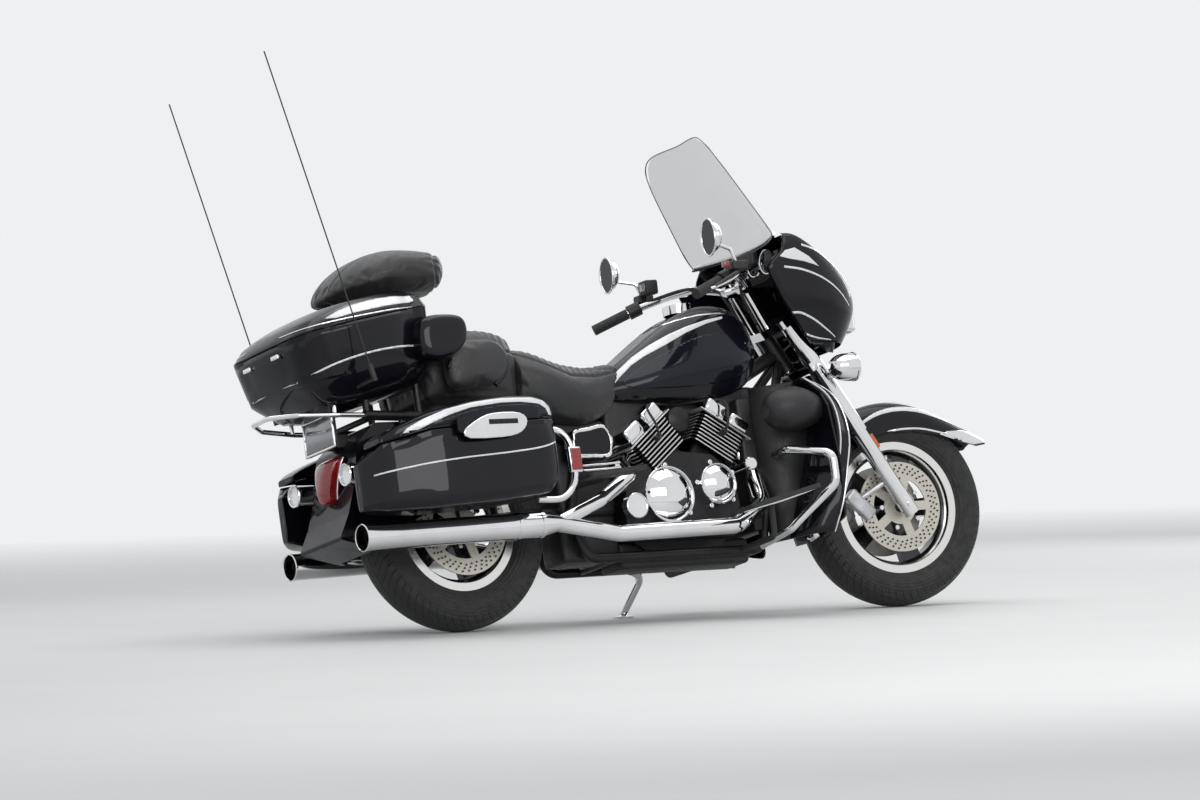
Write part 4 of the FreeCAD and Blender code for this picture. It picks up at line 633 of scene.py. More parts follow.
def soft_line(points, steps=10):
    """Points of a smooth curve through the given ones."""
    points = [Vector(point) for point in points]
    line = []
    for index in range(len(points) - 1):
        before = points[max(index - 1, 0)]
        here, there = points[index], points[index + 1]
        after = points[min(index + 2, len(points) - 1)]
        leave, arrive = here + (there - before) / 6.0, there - (after - here) / 6.0
        run = interpolate_bezier(here, leave, arrive, there, steps)
        line += run if index == 0 else run[1:]
    return line


def run_at(line, index):
    """The direction of a line at one of its points."""
    return line[min(index + 1, len(line) - 1)] - line[max(index - 1, 0)]


def add_hose(bm, points, radius, sides=10, steps=8):
    """A round pipe along a smooth line, closed at both ends."""
    line = soft_line(points, steps)
    rings = []
    up = UP
    for index, point in enumerate(line):
        run = run_at(line, index)
        if abs(run.normalized().dot(up)) > 0.98:
            up = AHEAD
        side = run.cross(up).normalized()
        axes = Matrix((side, side.cross(run.normalized()), run.normalized())).transposed().to_4x4()
        made = bmesh.ops.create_circle(
            bm, cap_ends=False, segments=sides, radius=radius, matrix=Matrix.Translation(point) @ axes
        )
        rings.append(edges_of(made))
    for low, high in zip(rings[:-1], rings[1:]):
        bmesh.ops.bridge_loops(bm, edges=low + high)
    for ring in (rings[0], rings[-1]):
        bmesh.ops.edgeloop_fill(bm, edges=ring)


def add_grid(bm, rows):
    """A sheet through rows of points of equal count."""
    across = len(rows[0])
    made = bmesh.ops.create_grid(bm, x_segments=across - 1, y_segments=len(rows) - 1, size=1.0)
    for index, vert in enumerate(made["verts"]):
        vert.co = rows[index // across][index % across]


def add_surface(bm, rings, caps=()):
    """A surface through rings of equal count; a ring whose ends meet closes when it is welded."""
    add_grid(bm, rings)
    for end in caps:
        middle = sum(rings[end], Vector()) / len(rings[end])
        shares = (0.0, 0.35, 0.7, 0.999)
        add_grid(bm, [[point.lerp(middle, share) for point in rings[end]] for share in shares])


def smooth_rings(rows, steps):
    """More rings between the given ones, on smooth curves through them."""
    lines = [soft_line(line, steps) for line in zip(*rows)]
    return [list(ring) for ring in zip(*lines)]


def band(points, widths, steps=6):
    """Outline of a stripe along a smooth line in the plane, with one width or its own at each point."""
    if isinstance(widths, (int, float)):
        widths = [widths] * len(points)
    line = soft_line([(x, z, width) for (x, z), width in zip(points, widths)], steps)
    left, right = [], []
    for index, point in enumerate(line):
        run = run_at(line, index)
        away = Vector((-run.y, run.x)).normalized() * point.z / 2.0
        left.append((point.x + away.x, point.y + away.y))
        right.append((point.x - away.x, point.y - away.y))
    return left + right[::-1]


def closed_curve(points, steps=5):
    """A smooth closed outline through the given corners."""
    ring = soft_line([(x, z, 0.0) for x, z in points[-2:] + points + points[:2]], steps)
    return [(point.x, point.y) for point in ring[2 * steps - 2: -steps]]


def bend(value, square):
    """Draws a sine or cosine out towards a square."""
    return math.copysign(abs(value) ** (2.0 / square), value)


def rounded_square(square, count):
    """A rounded square of half-size one, as (u, v), whose last point is its first."""
    turns = [math.tau * step / count for step in range(count + 1)]
    return [(bend(math.cos(turn), square), bend(math.sin(turn), square)) for turn in turns]


# Laying trim on the nodes


def skin_of(node, body):
    """A node's outer surface in the upright machine's millimetres, to lay trim on."""
    back = (stand_of(body) @ MILLIMETRE).inverted()
    mesh = (SKINS.get(node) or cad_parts[node]).data
    points = [back @ vert.co for vert in mesh.vertices]
    return BVHTree.FromPolygons(points, [tuple(face.vertices) for face in mesh.polygons])


def lay_on(bm, tree, direction, lift):
    """Drops every point along a direction onto a surface, and removes what misses it."""
    lost = []
    for vert in bm.verts:
        hit, normal = tree.ray_cast(vert.co, direction)[:2]
        if hit is None:
            lost.append(vert)
            continue
        if normal.dot(direction) > 0.0:
            normal = -normal
        vert.co = hit + normal * lift
    bmesh.ops.delete(bm, geom=lost, context="VERTS")


def add_trim(name, node, outline, finish, body, side, pitch=6.0, lift=0.9):
    """A thin painted or plated shape laid on a node, from its outline as (x, z) seen from the side."""
    bm = bmesh.new()
    bm.faces.new([bm.verts.new((x, FAR_OUT * side, z)) for x, z in outline])
    for way in (AHEAD, UP):
        places = [vert.co.dot(way) for vert in bm.verts]
        cut = min(places) + pitch
        while cut < max(places):
            geom = bm.verts[:] + bm.edges[:] + bm.faces[:]
            bmesh.ops.bisect_plane(bm, geom=geom, dist=0.001, plane_co=way * cut, plane_no=way)
            cut += pitch
    bmesh.ops.triangulate(bm, faces=bm.faces[:], ngon_method="BEAUTY")
    lay_on(bm, skin_of(node, body), Vector((0.0, -side, 0.0)), lift)
    thicken(place_piece(bm, name, body, finish), sizes().stripe_thick, 1.0)


def cover(bm, node, body, reach):
    """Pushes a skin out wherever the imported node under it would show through."""
    weld(bm)
    tree = skin_of(node, body)
    moves = []
    for vert in bm.verts:
        start = vert.co + vert.normal * reach
        hit = tree.ray_cast(start, -vert.normal, reach + SKIN_LIFT)[0]
        if hit is not None:
            moves.append((vert, hit + vert.normal * SKIN_LIFT))
    for vert, place in moves:
        vert.co = place


# Smooth outer skins

FAIRING_RINGS = (
    # z, rear, nose, half
    (858, 1382, 1547, 174), (885, 1345, 1570, 188), (920, 1306, 1592, 207), (955, 1276, 1610, 224),
    (985, 1252, 1616, 235), (1020, 1228, 1612, 245), (1060, 1204, 1596, 254), (1095, 1188, 1570, 260),
    (1120, 1212, 1536, 263), (1145, 1242, 1496, 263), (1170, 1258, 1452, 261), (1192, 1266, 1408, 255),
    (1206, 1268, 1366, 250), (1211, 1266, 1330, 247), (1209, 1263, 1312, 246),
)
TRUNK_RINGS = (
    # rear, front, half, rear z, front z
    (-400, -170, 110, 694, 752), (-482, -118, 184, 704, 771), (-536, -104, 226, 744, 802),
    (-566, -100, 256, 788, 846), (-586, -104, 276, 850, 920), (-596, -108, 289, 915, 1000),
)
TRUNK_LID_RINGS = (
    # rear, front, half, rear z, front z
    (-597, -108, 290, 916.5, 1001.5), (-592, -112, 288, 932, 1018), (-566, -126, 274, 962, 1042),
    (-520, -146, 246, 990, 1058), (-470, -168, 212, 1011, 1067), (-380, -210, 120, 1020, 1068),
)
BAG_RINGS = (
    # x, bottom, top, outer
    (-456, 352, 498, 262), (-430, 346, 522, 302), (-400, 340, 543, 333), (-330, 336, 560, 370),
    (-260, 335, 571, 396), (-140, 338, 579, 408), (-20, 345, 584, 413), (70, 353, 588, 410),
    (150, 364, 591, 404), (182, 386, 592, 394), (199, 424, 593, 378),
)
BAG_LID_RINGS = (
    # x, bottom, top, outer
    (-408, 547, 566, 322), (-380, 551, 584, 346), (-330, 562, 606, 372), (-260, 574, 630, 397),
    (-140, 582, 654, 411), (-20, 587, 669, 415), (70, 591, 672, 411), (130, 593, 669, 405),
    (170, 595, 656, 395), (199, 596, 636, 380),
)
BAG_INNER = 226.0


def fairing_ring(z, rear, nose, half, count=48, square=2.5):
    """Half a rounded oblong, open to the rider, with straight sides behind it."""
    middle = rear + (nose - rear) * 0.32
    ring = [Vector((rear + (middle - rear) * step / 6.0, -half, z)) for step in range(6)]
    for step in range(count + 1):
        turn = math.pi * (step / count - 0.5)
        x = middle + (nose - middle) * bend(math.cos(turn), square)
        ring.append(Vector((x, half * bend(math.sin(turn), square), z)))
    return ring + [Vector((middle + (rear - middle) * step / 6.0, half, z)) for step in range(1, 7)]


def plan_ring(rear, front, half, z_rear, z_front, square=3.0):
    """A rounded oblong seen from above, tilted from its rear height to its front height."""
    middle, reach = (rear + front) / 2.0, (front - rear) / 2.0
    ring = []
    for u, v in rounded_square(square, 64):
        x = middle + reach * u
        ring.append(Vector((x, half * v, z_rear + (z_front - z_rear) * (x - rear) / (front - rear))))
    return ring


def bag_ring(x, bottom, top, outer, side):
    """One cross-section of a saddlebag or its lid."""
    middle_y, middle_z = (outer + BAG_INNER) / 2.0, (bottom + top) / 2.0
    half_y, half_z = (outer - BAG_INNER) / 2.0, (top - bottom) / 2.0
    return [
        Vector((x, side * (middle_y + half_y * u), middle_z + half_z * v)) for u, v in rounded_square(5.0, 40)
    ]


def open_shell(bm, up, side):
    """Leaves a bag or its lid open where they meet, which is up or down, and along the inner wall."""
    weld(bm)
    unwanted = [face for face in bm.faces if face.normal.z * up > 0.75 or face.normal.y * side < -0.8]
    bmesh.ops.delete(bm, geom=unwanted, context="FACES")


def lay_skin(bm, name, node, body, reach, thickness=0.001):
    """Lays a skin over its node and keeps it, so that trim lies on it."""
    cover(bm, node, body, reach)
    SKINS[node] = place_piece(bm, name, body, "paint")
    thicken(SKINS[node], thickness, -1.0)


class TOURER_OT_skins(bpy.types.Operator):
    """Lay the smooth outer skins over the fairing, the trunk and the saddlebags"""

    bl_idname = "tourer.skins"
    bl_label = "Smooth skins"

    def execute(self, context):
        bm = bmesh.new()
        add_surface(bm, smooth_rings([fairing_ring(*row) for row in FAIRING_RINGS], 3))
        lay_skin(bm, "fairing_skin", "fairing", "chassis", 12.0, 0.0012)
        for name, node, body, rows, cap in (
            ("trunk_skin", "trunk_body", "chassis", TRUNK_RINGS, 0),
            ("trunk_lid_skin", "trunk_lid", "trunk_lid", TRUNK_LID_RINGS, -1),
        ):
            bm = bmesh.new()
            add_surface(bm, smooth_rings([plan_ring(*row) for row in rows], 4), (cap,))
            lay_skin(bm, name, node, body, 14.0)
        for side, word in BOTH:
            for name, node, body, rows, up in (
                ("bag_skin_", "saddlebag_" + word, "chassis", BAG_RINGS, 1.0),
                ("bag_lid_skin_", "bag_lid_" + word, "bag_lid_" + word, BAG_LID_RINGS, -1.0),
            ):
                bm = bmesh.new()
                add_surface(bm, smooth_rings([bag_ring(*row, side) for row in rows], 3), (0, -1))
                open_shell(bm, up, side)
                lay_skin(bm, name + word, node, body, 10.0)
        return {"FINISHED"}


# The stage, in metres

STUDIO_LIGHTS = (
    # name, place, aim, size, watts
    ("overhead", (0.4, 0.2, 5.2), (0.0, 0.0, 0.6), (6.5, 4.5), 150.0),
    ("right_side", (-1.5, -6.0, 3.2), (0.0, 0.0, 0.7), (5.0, 2.4), 120.0),
    ("front_left", (6.0, 3.5, 3.0), (0.2, 0.0, 0.7), (3.0, 3.0), 70.0),
)
# Tint and strength of the room that lights the machine, and of the one that the camera sees
ROOM_LIGHT = ((0.92, 0.96, 1.0, 1.0), 0.42)
ROOM_SHOWN = ((0.86, 0.87, 0.88, 1.0), 1.0)
# How far from the middle the floor starts to fade, and where it is gone
FLOOR_FADE = (4.5, 13.0)
CAMERA_AIM = Vector((-0.0810, -0.0493, 0.7150))
CAMERA_AZIMUTH_DEG = -32.847
CAMERA_RISE_DEG = 0.245
CAMERA_ROLL_DEG = -1.798
CAMERA_AWAY = 19.4267
CAMERA_REACH = 400.0


def floor_finish():
    """A pale floor that fades into the room."""
    floor = Finish("studio floor", rough=0.75)
    floor.colour(floor.noise(1.5, 6.0), (0.80, 0.80, 0.79), (0.74, 0.74, 0.735))
    floor.bump(floor.noise(240.0, 2.0), 0.08, 0.001)
    nodes = floor.tree.nodes
    length = nodes.new("ShaderNodeVectorMath")
    length.operation = "LENGTH"
    floor.wire(floor.place, length, 0)
    see_through = nodes.new("ShaderNodeBsdfTransparent")
    blend = nodes.new("ShaderNodeMixShader")
    floor.wire(floor.ramp(length.outputs["Value"], *FLOOR_FADE), blend, "Fac")
    floor.wire(floor.shader.outputs["BSDF"], blend, 1)
    floor.wire(see_through.outputs["BSDF"], blend, 2)
    floor.wire(blend.outputs["Shader"], nodes["Material Output"], "Surface")
    return floor.material


def light_world(scene):
    """A soft room that looks brighter than it lights."""
    world = bpy.data.worlds.new("soft studio")
    world.use_nodes = True
    nodes, links = world.node_tree.nodes, world.node_tree.links
    rooms = (nodes["Background"], nodes.new("ShaderNodeBackground"))
    blend = nodes.new("ShaderNodeMixShader")
    for index, (room, (colour, strength)) in enumerate(zip(rooms, (ROOM_LIGHT, ROOM_SHOWN))):
        room.inputs["Color"].default_value = colour
        room.inputs["Strength"].default_value = strength
        links.new(room.outputs["Background"], blend.inputs[index + 1])
    rays = nodes.new("ShaderNodeLightPath").outputs
    seen = rays["Is Camera Ray"]
    for kind in ("Is Glossy Ray", "Is Transmission Ray"):
        either = nodes.new("ShaderNodeMath")
        either.operation = "MAXIMUM"
        links.new(seen, either.inputs[0])
        links.new(rays[kind], either.inputs[1])
        seen = either.outputs["Value"]
    links.new(seen, blend.inputs["Fac"])
    links.new(blend.outputs["Shader"], nodes["World Output"].inputs["Surface"])
    scene.world = world


def point_along(item, at, direction, roll=0.0):
    """Sets a lamp or camera down, looking along a direction."""
    item.location = at
    item.rotation_mode = "QUATERNION"
    item.rotation_quaternion = direction.to_track_quat("-Z", "Y") @ Quaternion(UP, roll)


def place_camera(scene):
    """The camera that took the photo."""
    turn, rise = math.radians(CAMERA_AZIMUTH_DEG), math.radians(CAMERA_RISE_DEG)
    back = Vector((math.sin(turn) * math.cos(rise), -math.cos(turn) * math.cos(rise), math.sin(rise)))
    lens = bpy.data.cameras.new("photo view")
    lens.lens = sizes().lens
    lens.clip_end = CAMERA_REACH
    scene.camera = in_scene("photo_camera", lens)
    point_along(scene.camera, CAMERA_AIM + back * CAMERA_AWAY, -back, math.radians(CAMERA_ROLL_DEG))


class TOURER_OT_stage(bpy.types.Operator):
    """Lay the studio floor, hang the soft lights and set the camera"""

    bl_idname = "tourer.stage"
    bl_label = "Stage, lights and camera"

    def execute(self, context):
        bm = bmesh.new()
        bmesh.ops.create_circle(bm, cap_ends=True, segments=96, radius=sizes().floor_radius)
        floor = in_scene("studio_floor", into_mesh(bm, "studio_floor"))
        floor.data.materials.append(floor_finish())
        for name, at, aim, span, power in STUDIO_LIGHTS:
            light = bpy.data.lights.new(name, "AREA")
            light.shape = "RECTANGLE"
            light.size, light.size_y = span
            light.energy = power
            point_along(in_scene(name, light), at, Vector(aim) - Vector(at))
        light_world(context.scene)
        place_camera(context.scene)
        context.scene.view_settings.view_transform = "Standard"
        return {"FINISHED"}


class TOURER_OT_finishes(bpy.types.Operator):
    """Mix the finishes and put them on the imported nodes"""

    bl_idname = "tourer.finishes"
    bl_label = "Finishes of the frame"

    def execute(self, context):
        make_finishes()
        for finish, nodes in NODE_FINISH.items():
            for name in nodes:
                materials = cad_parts[name].data.materials
                materials.clear()
                materials.append(FINISH[finish])
        return {"FINISHED"}


# Tank, trunk and saddlebags, with outlines and lines as (x, z)

TANK_STRIPE = [
    (614, 733), (628, 763), (666, 805), (723, 846), (787, 881), (858, 912), (932, 937), (1006, 955),
    (1074, 966), (1072, 958), (1003, 942), (920, 914), (836, 876), (761, 845), (710, 817), (661, 778),
    (632, 750),
]
TANK_BEAD = [(592, 790), (654, 850), (751, 905), (856, 949), (976, 972), (1090, 978)]
TANK_PANEL = [
    (668, 762), (740, 812), (850, 860), (960, 898), (1060, 906), (1130, 880), (1150, 832), (1120, 776),
    (1020, 744), (880, 732), (760, 734), (690, 742),
]
# Panels lie under the stripes
PANEL_LIFT = 0.3


class TOURER_OT_tank_trim(bpy.types.Operator):
    """Paint the tank's stripes and lay its beading"""

    bl_idname = "tourer.tank_trim"
    bl_label = "Tank trim"

    def execute(self, context):
        bead = band(TANK_BEAD, millimetres(sizes().beading))
        panel = closed_curve(TANK_PANEL)
        for side, word in BOTH:
            add_trim("tank_stripe_" + word, "fuel_tank", TANK_STRIPE, "stripe_paint", "chassis", side)
            add_trim("tank_bead_" + word, "fuel_tank", bead, "chrome", "chassis", side)
            name = "tank_panel_" + word
            add_trim(name, "fuel_tank", panel, "panel_paint", "chassis", side, lift=PANEL_LIFT)
        return {"FINISHED"}


LID_PANEL = [
    (-500, 962), (-455, 984), (-400, 1002), (-329, 1018), (-240, 1028), (-170, 1030), (-150, 1016),
    (-190, 1006), (-290, 992), (-400, 974), (-470, 959),
]
LID_LINE = band([(-590, 936), (-480, 950), (-380, 964), (-260, 981), (-160, 994)], [3, 4, 4, 4, 4])
TRUNK_LINE = band(
    [(-590, 772), (-520, 806), (-440, 832), (-340, 854), (-230, 868), (-140, 874)], [5, 6, 6, 6, 6, 6]
)
TRUNK_LATCHES_Y = (-90.0, 90.0)


class TOURER_OT_trunk_trim(bpy.types.Operator):
    """Paint the trunk's white panels and pinstripes and fit its latches"""

    bl_idname = "tourer.trunk_trim"
    bl_label = "Trunk trim"

    def execute(self, context):
        for side, word in BOTH:
            add_trim("lid_panel_" + word, "trunk_lid", LID_PANEL, "stripe_paint", "trunk_lid", side)
            add_trim("lid_line_" + word, "trunk_lid", LID_LINE, "chrome", "trunk_lid", side)
            add_trim("trunk_line_" + word, "trunk_body", TRUNK_LINE, "stripe_paint", "chassis", side)
        latches = [(add_plate, y, 22.0, (-603.0, 872.0), (-588.0, 886.0), 3.0) for y in TRUNK_LATCHES_Y]
        make("trunk_latches", "chassis", "chrome", *latches)
        return {"FINISHED"}


LID_BORDER = [
    (-350, 564), (-331, 584), (-279, 608), (-202, 632), (-109, 650), (2, 660), (112, 660), (158, 650),
    (186, 630), (192, 606), (178, 606), (166, 626), (140, 639), (70, 646), (-3, 645), (-114, 634),
    (-189, 615), (-250, 594), (-296, 576), (-322, 564),
]
LID_FIELD = [
    (-270, 580), (-240, 591), (-180, 609), (-110, 626), (0, 638), (80, 640), (136, 632), (162, 618),
    (168, 606), (80, 600), (-60, 592), (-180, 582),
]
BAG_LINE = band(
    [(-430, 452), (-340, 462), (-240, 471), (-140, 479), (-20, 486), (90, 496), (150, 506), (192, 520)], 5
)
LATCH = [
    (-165, 553), (-145, 572), (-96, 598), (-50, 610), (23, 612), (62, 602), (72, 580), (58, 556), (29, 540),
    (-28, 532), (-144, 532),
]
LATCH_Y = 426.5
LATCH_THICK = 7.0


def add_latch(bm, side):
    """The cover of a bag's latch: its outline raised off the lid, with a rounded face."""
    face = bm.faces.new([bm.verts.new((x, LATCH_Y * side, z)) for x, z in closed_curve(LATCH, 3)])
    grown = bmesh.ops.extrude_face_region(bm, geom=[face])["geom"]
    moved = [item for item in grown if isinstance(item, bmesh.types.BMVert)]
    bmesh.ops.translate(bm, vec=(0.0, LATCH_THICK * side, 0.0), verts=moved)
    half_way = LATCH_Y + LATCH_THICK / 2.0
    rim = [edge for edge in bm.edges if all(abs(vert.co.y) > half_way for vert in edge.verts)]
    soften_edges(bm, rim, 4.0)


class TOURER_OT_bag_trim(bpy.types.Operator):
    """Paint the saddlebag lids and lines and fit the latch handles"""

    bl_idname = "tourer.bag_trim"
    bl_label = "Saddlebag trim"

    def execute(self, context):
        for side, word in BOTH:
            lid, bag = "bag_lid_" + word, "saddlebag_" + word
            add_trim("lid_border_" + word, lid, LID_BORDER, "stripe_paint", lid, side)
            add_trim("lid_field_" + word, lid, LID_FIELD, "panel_paint", lid, side, lift=PANEL_LIFT)
            add_trim("bag_line_" + word, bag, BAG_LINE, "stripe_paint", "chassis", side)
            make("latch_cover_" + word, lid, "chrome", (add_latch, side))
            # A thin near-black plate on the latch cover: painted shade for the latch's recess
            recess_shade = (add_plate, 433.4 * side, 1.2, (-70.0, 574.0), (36.0, 590.0), 1.0)
            make("latch_inlay_" + word, lid, "hole", recess_shade)
        return {"FINISHED"}


# Wheels

DISCS = (
    # word, centre, outer faces, radius, body
    ("front", FRONT_WHEEL, (-75.1, 75.1), 149.0, "front_wheel"),
    ("rear", REAR_WHEEL, (-83.1,), 160.0, "rear_wheel"),
)
# Three rows of holes, by their depth from the edge, and one ring of bolts on each face
HOLE_ROWS = (12.0, 23.0, 34.0)
HOLES = 40
DISC_BOLTS = 5
DISC_BOLT_RING = 72.0


def around(centre, y, angle, reach):
    """A point at an angle about a wheel's centre."""
    return centre + Vector((math.cos(angle) * reach, y, math.sin(angle) * reach))


def add_disc_holes(bm, centre, y, radius):
    """Dark dots of painted shade where one face of a disc is drilled, each row a little ahead of the one
    outside it.
    """
    size = millimetres(sizes().disc_hole)
    for ring, row in enumerate(HOLE_ROWS):
        for step in range(HOLES):
            angle = math.tau * (step + 0.33 * ring) / HOLES
            at = around(centre, y, angle, radius - row - 2.0 * math.sin(step * 1.9))
            bmesh.ops.create_cone(
                bm, cap_ends=True, segments=8, radius1=size, radius2=size, depth=0.5,
                matrix=facing(at, ACROSS * math.copysign(1.0, y)),
            )


def add_disc_bolts(bm, centre, y):
    """Button bolts with sockets on one face of a disc."""
    out = ACROSS * math.copysign(1.0, y)
    for step in range(DISC_BOLTS):
        at = around(centre, y, math.tau * (step + 0.5) / DISC_BOLTS, DISC_BOLT_RING)
        add_rod(bm, at, at + out * 6.0, 8.5, 7.5, 12)
        add_rod(bm, at + out * 5.9, at + out * 6.4, 4.0, 4.0, 6)


class TOURER_OT_wheel_details(bpy.types.Operator):
    """Dot the brake discs with painted shade where they are drilled, and fit their bolts"""

    bl_idname = "tourer.wheel_details"
    bl_label = "Wheel details"

    def execute(self, context):
        for word, centre, faces, radius, body in DISCS:
            holes = bmesh.new()
            for y in faces:
                add_disc_holes(holes, centre, y, radius)
            # The holes are dots in the near-black finish: painted shade, not openings
            place_piece(holes, "disc_holes_" + word, body, "hole", smooth=False)
            make("disc_bolts_" + word, body, "chrome", *[(add_disc_bolts, centre, y) for y in faces])
        return {"FINISHED"}


# Lamps, with profiles as height along the axis and radius

FORK_LEG = (37.0, 118.0)
LAMP_PLACE = (505.0, 80.0, 205.0)
LAMP_BOWL = [
    (-53.0, 0.01), (-52.0, 13.0), (-47.0, 24.0), (-37.0, 34.0), (-24.0, 41.0), (-6.0, 45.0), (12.0, 46.5),
    (28.0, 46.5), (30.0, 48.5), (36.0, 48.5), (39.0, 46.0), (38.0, 42.0), (32.0, 40.5),
]
SIGNAL_PLACE = (-446.0, 164.0, 486.0)
SIGNAL_BEZEL = [(-2.0, 35.4), (5.0, 37.0), (9.0, 35.0), (8.0, 30.5), (0.0, 30.0)]
REFLECTOR_HALF = Vector((7.0, 9.0, 26.0))
REFLECTOR_TILT_DEG = -30.5
TAIL_RINGS = (
    # rear, front, half, z
    (-438, -386, 20, 423), (-450, -384, 29, 434), (-455, -381, 37, 462), (-452, -376, 47, 500),
    (-442, -371, 56, 536), (-430, -368, 59, 554), (-416, -367, 52, 563),
)
HEAD_LAMP_FRAME = (
    (add_box, (1560.0, -97.0, 905.0), (1619.0, 97.0, 1015.0), 20.0),
    (add_box, (1616.0, -86.0, 916.0), (1621.0, 86.0, 1004.0), 2.0),
)
HEAD_LAMP_GLASS = (add_box, (1620.5, -84.0, 918.0), (1624.0, 84.0, 1002.0), 1.5)


def steer_at(along, ahead, y):
    """A point of the fork: along the steering axis, ahead of it and across."""
    return STEER_AT + STEER_DIR * along + STEER_AHEAD * ahead + ACROSS * y


def dress_tail_lamp():
    """The tapered red lens with a bright edge round it."""
    bm = bmesh.new()
    rows = [plan_ring(rear, front, half, z, z, 2.6) for rear, front, half, z in TAIL_RINGS]
    add_surface(bm, smooth_rings(rows, 4), (0, -1))
    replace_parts(place_piece(bm, "tail_lens", "chassis", "red_lens"), "tail_lamp")
    edge = [((rear + front) / 2.0 + 8.0, half + 2.0, z) for rear, front, half, z in TAIL_RINGS]
    loop = mirrored(edge, -1.0) + edge[::-1]
    make("tail_rim", "chassis", "chrome", (add_hose, loop + loop[:1], 3.5, 10, 5))


class TOURER_OT_lamps(bpy.types.Operator):
    """Glaze the head lamp, passing lamps, signals and tail lamp"""

    bl_idname = "tourer.lamps"
    bl_label = "Lamps"

    def execute(self, context):
        tilt = Matrix.Rotation(math.radians(REFLECTOR_TILT_DEG), 4, "Y")
        for side, word in BOTH:
            root = steer_at(LAMP_PLACE[0], LAMP_PLACE[1], side * LAMP_PLACE[2])
            glass = (add_dome, root + AHEAD * 33.0, AHEAD, 41.5, 12.0)
            make("passing_lens_" + word, "steering", "lens", glass)
            make("passing_bowl_" + word, "steering", "chrome", (add_turned, root, AHEAD, LAMP_BOWL, 48))
            at = Vector(mirrored([SIGNAL_PLACE], side)[0])
            make("rear_signal_lens_" + word, "chassis", "lens", (add_dome, at, -AHEAD, 30.0, 13.0))
            bezel = (add_turned, at + AHEAD * 2.0, -AHEAD, SIGNAL_BEZEL)
            make("rear_signal_bezel_" + word, "chassis", "chrome", bezel)
            at = steer_at(235.0, FORK_LEG[0] + 30.0, side * FORK_LEG[1])
            reflector = (add_box, at - REFLECTOR_HALF, at + REFLECTOR_HALF, 4.0, tilt)
            make("fork_reflector_" + word, "steering", "amber_lens", reflector)
        dress_tail_lamp()
        make("head_lamp_frame", "chassis", "chrome", *HEAD_LAMP_FRAME)
        make("head_lamp_glass", "chassis", "lens", HEAD_LAMP_GLASS)
        return {"FINISHED"}


# Front fender, with outlines and lines as (x, z)

FENDER_STRIPE = band(
    [(1560, 588), (1640, 629), (1720, 645), (1800, 639), (1880, 614), (1960, 580), (2024, 548)],
    [6, 12, 15, 15, 12, 9, 5],
)
FENDER_BEAD = band([(1474, 400), (1548, 506), (1664, 566), (1784, 577), (1884, 557), (2006, 518)], 6)
FENDER_TIP = [(1324, 228), (1370, 228), (1456, 292), (1462, 330), (1420, 306), (1366, 262), (1322, 250)]
FENDER_NOSE = [
    (1876, 552), (1940, 528), (2000, 511), (2056, 517), (2052, 538), (2008, 556), (1960, 562), (1910, 561),
]


class TOURER_OT_fender_trim(bpy.types.Operator):
    """Lay the fender's stripes, beads and bright tips"""

    bl_idname = "tourer.fender_trim"
    bl_label = "Fender trim"

    def execute(self, context):
        for side, word in BOTH:
            for name, outline, finish in (
                ("fender_stripe_", FENDER_STRIPE, "stripe_paint"), ("fender_bead_", FENDER_BEAD, "chrome"),
                ("fender_tip_", FENDER_TIP, "chrome"), ("fender_nose_", FENDER_NOSE, "chrome"),
            ):
                add_trim(name + word, "front_fender", outline, finish, "steering", side)
        return {"FINISHED"}


# Fairing, windshield and leg shields

WING_PANEL = [
    (1236, 1130), (1262, 1150), (1300, 1158), (1352, 1128), (1392, 1096), (1330, 1112), (1270, 1122),
]
WING_LINES = (
    [(1330, 1168), (1390, 1150), (1450, 1118), (1510, 1076), (1556, 1030)],
    [(1250, 1096), (1320, 1086), (1400, 1060), (1470, 1022), (1530, 972)],
    [(1268, 948), (1312, 950), (1368, 930), (1420, 902), (1468, 874)],
    [(1262, 940), (1288, 916), (1330, 892), (1388, 874), (1450, 866)],
)
WING_LINE_WIDTHS = [7, 7, 6, 5, 3]
# The windshield's edge as (y, z), its foot, and how its round face leans back towards its top
SHIELD_EDGE = [
    (-241, 1208), (-241, 1250), (-229, 1330), (-206, 1462), (-182, 1530), (-132, 1565), (0, 1569),
    (132, 1565), (182, 1530), (206, 1462), (229, 1330), (241, 1250), (241, 1208),
]
SHIELD_FOOT_Z = 1212.0
SHIELD_SPAN_Z = (1206.0, 1575.0)
SHIELD_SPAN_X = (1306.0, 1078.0)
SHIELD_SPAN_R = (480.0, 460.0)
LEG_RINGS = (
    # z, inner x, inner y, outer x, outer y
    (722, 1246, 214, 1264, 256), (668, 1282, 208, 1324, 296), (600, 1292, 204, 1350, 318),
    (505, 1268, 202, 1352, 330), (400, 1232, 200, 1320, 336), (300, 1192, 200, 1292, 330),
    (206, 1156, 200, 1262, 298),
)
LEG_WALL_FOOT = (1122.0, 132.0)
LEG_THICK = 0.003
LEG_SWELL = 26.0


def shield_x(y, z):
    """Where the windshield's outer face lies at a place across and a height."""
    low, high = SHIELD_SPAN_Z
    climb = (z - low) / (high - low)
    crest, radius = (start + (end - start) * climb for start, end in (SHIELD_SPAN_X, SHIELD_SPAN_R))
    return crest - radius + math.sqrt(radius * radius - y * y) - 2.0


def leg_ring(side, z, inner_x, inner_y, outer_x, outer_y):
    """One level of a leg shield's curved outer face."""
    ring = []
    for step in range(9):
        share = step / 8.0
        swell_out = LEG_SWELL * math.sin(math.pi * share)
        x = inner_x + (outer_x - inner_x) * share - swell_out * 0.3
        ring.append(Vector((x, side * (inner_y + (outer_y - inner_y) * share + swell_out), z)))
    return ring


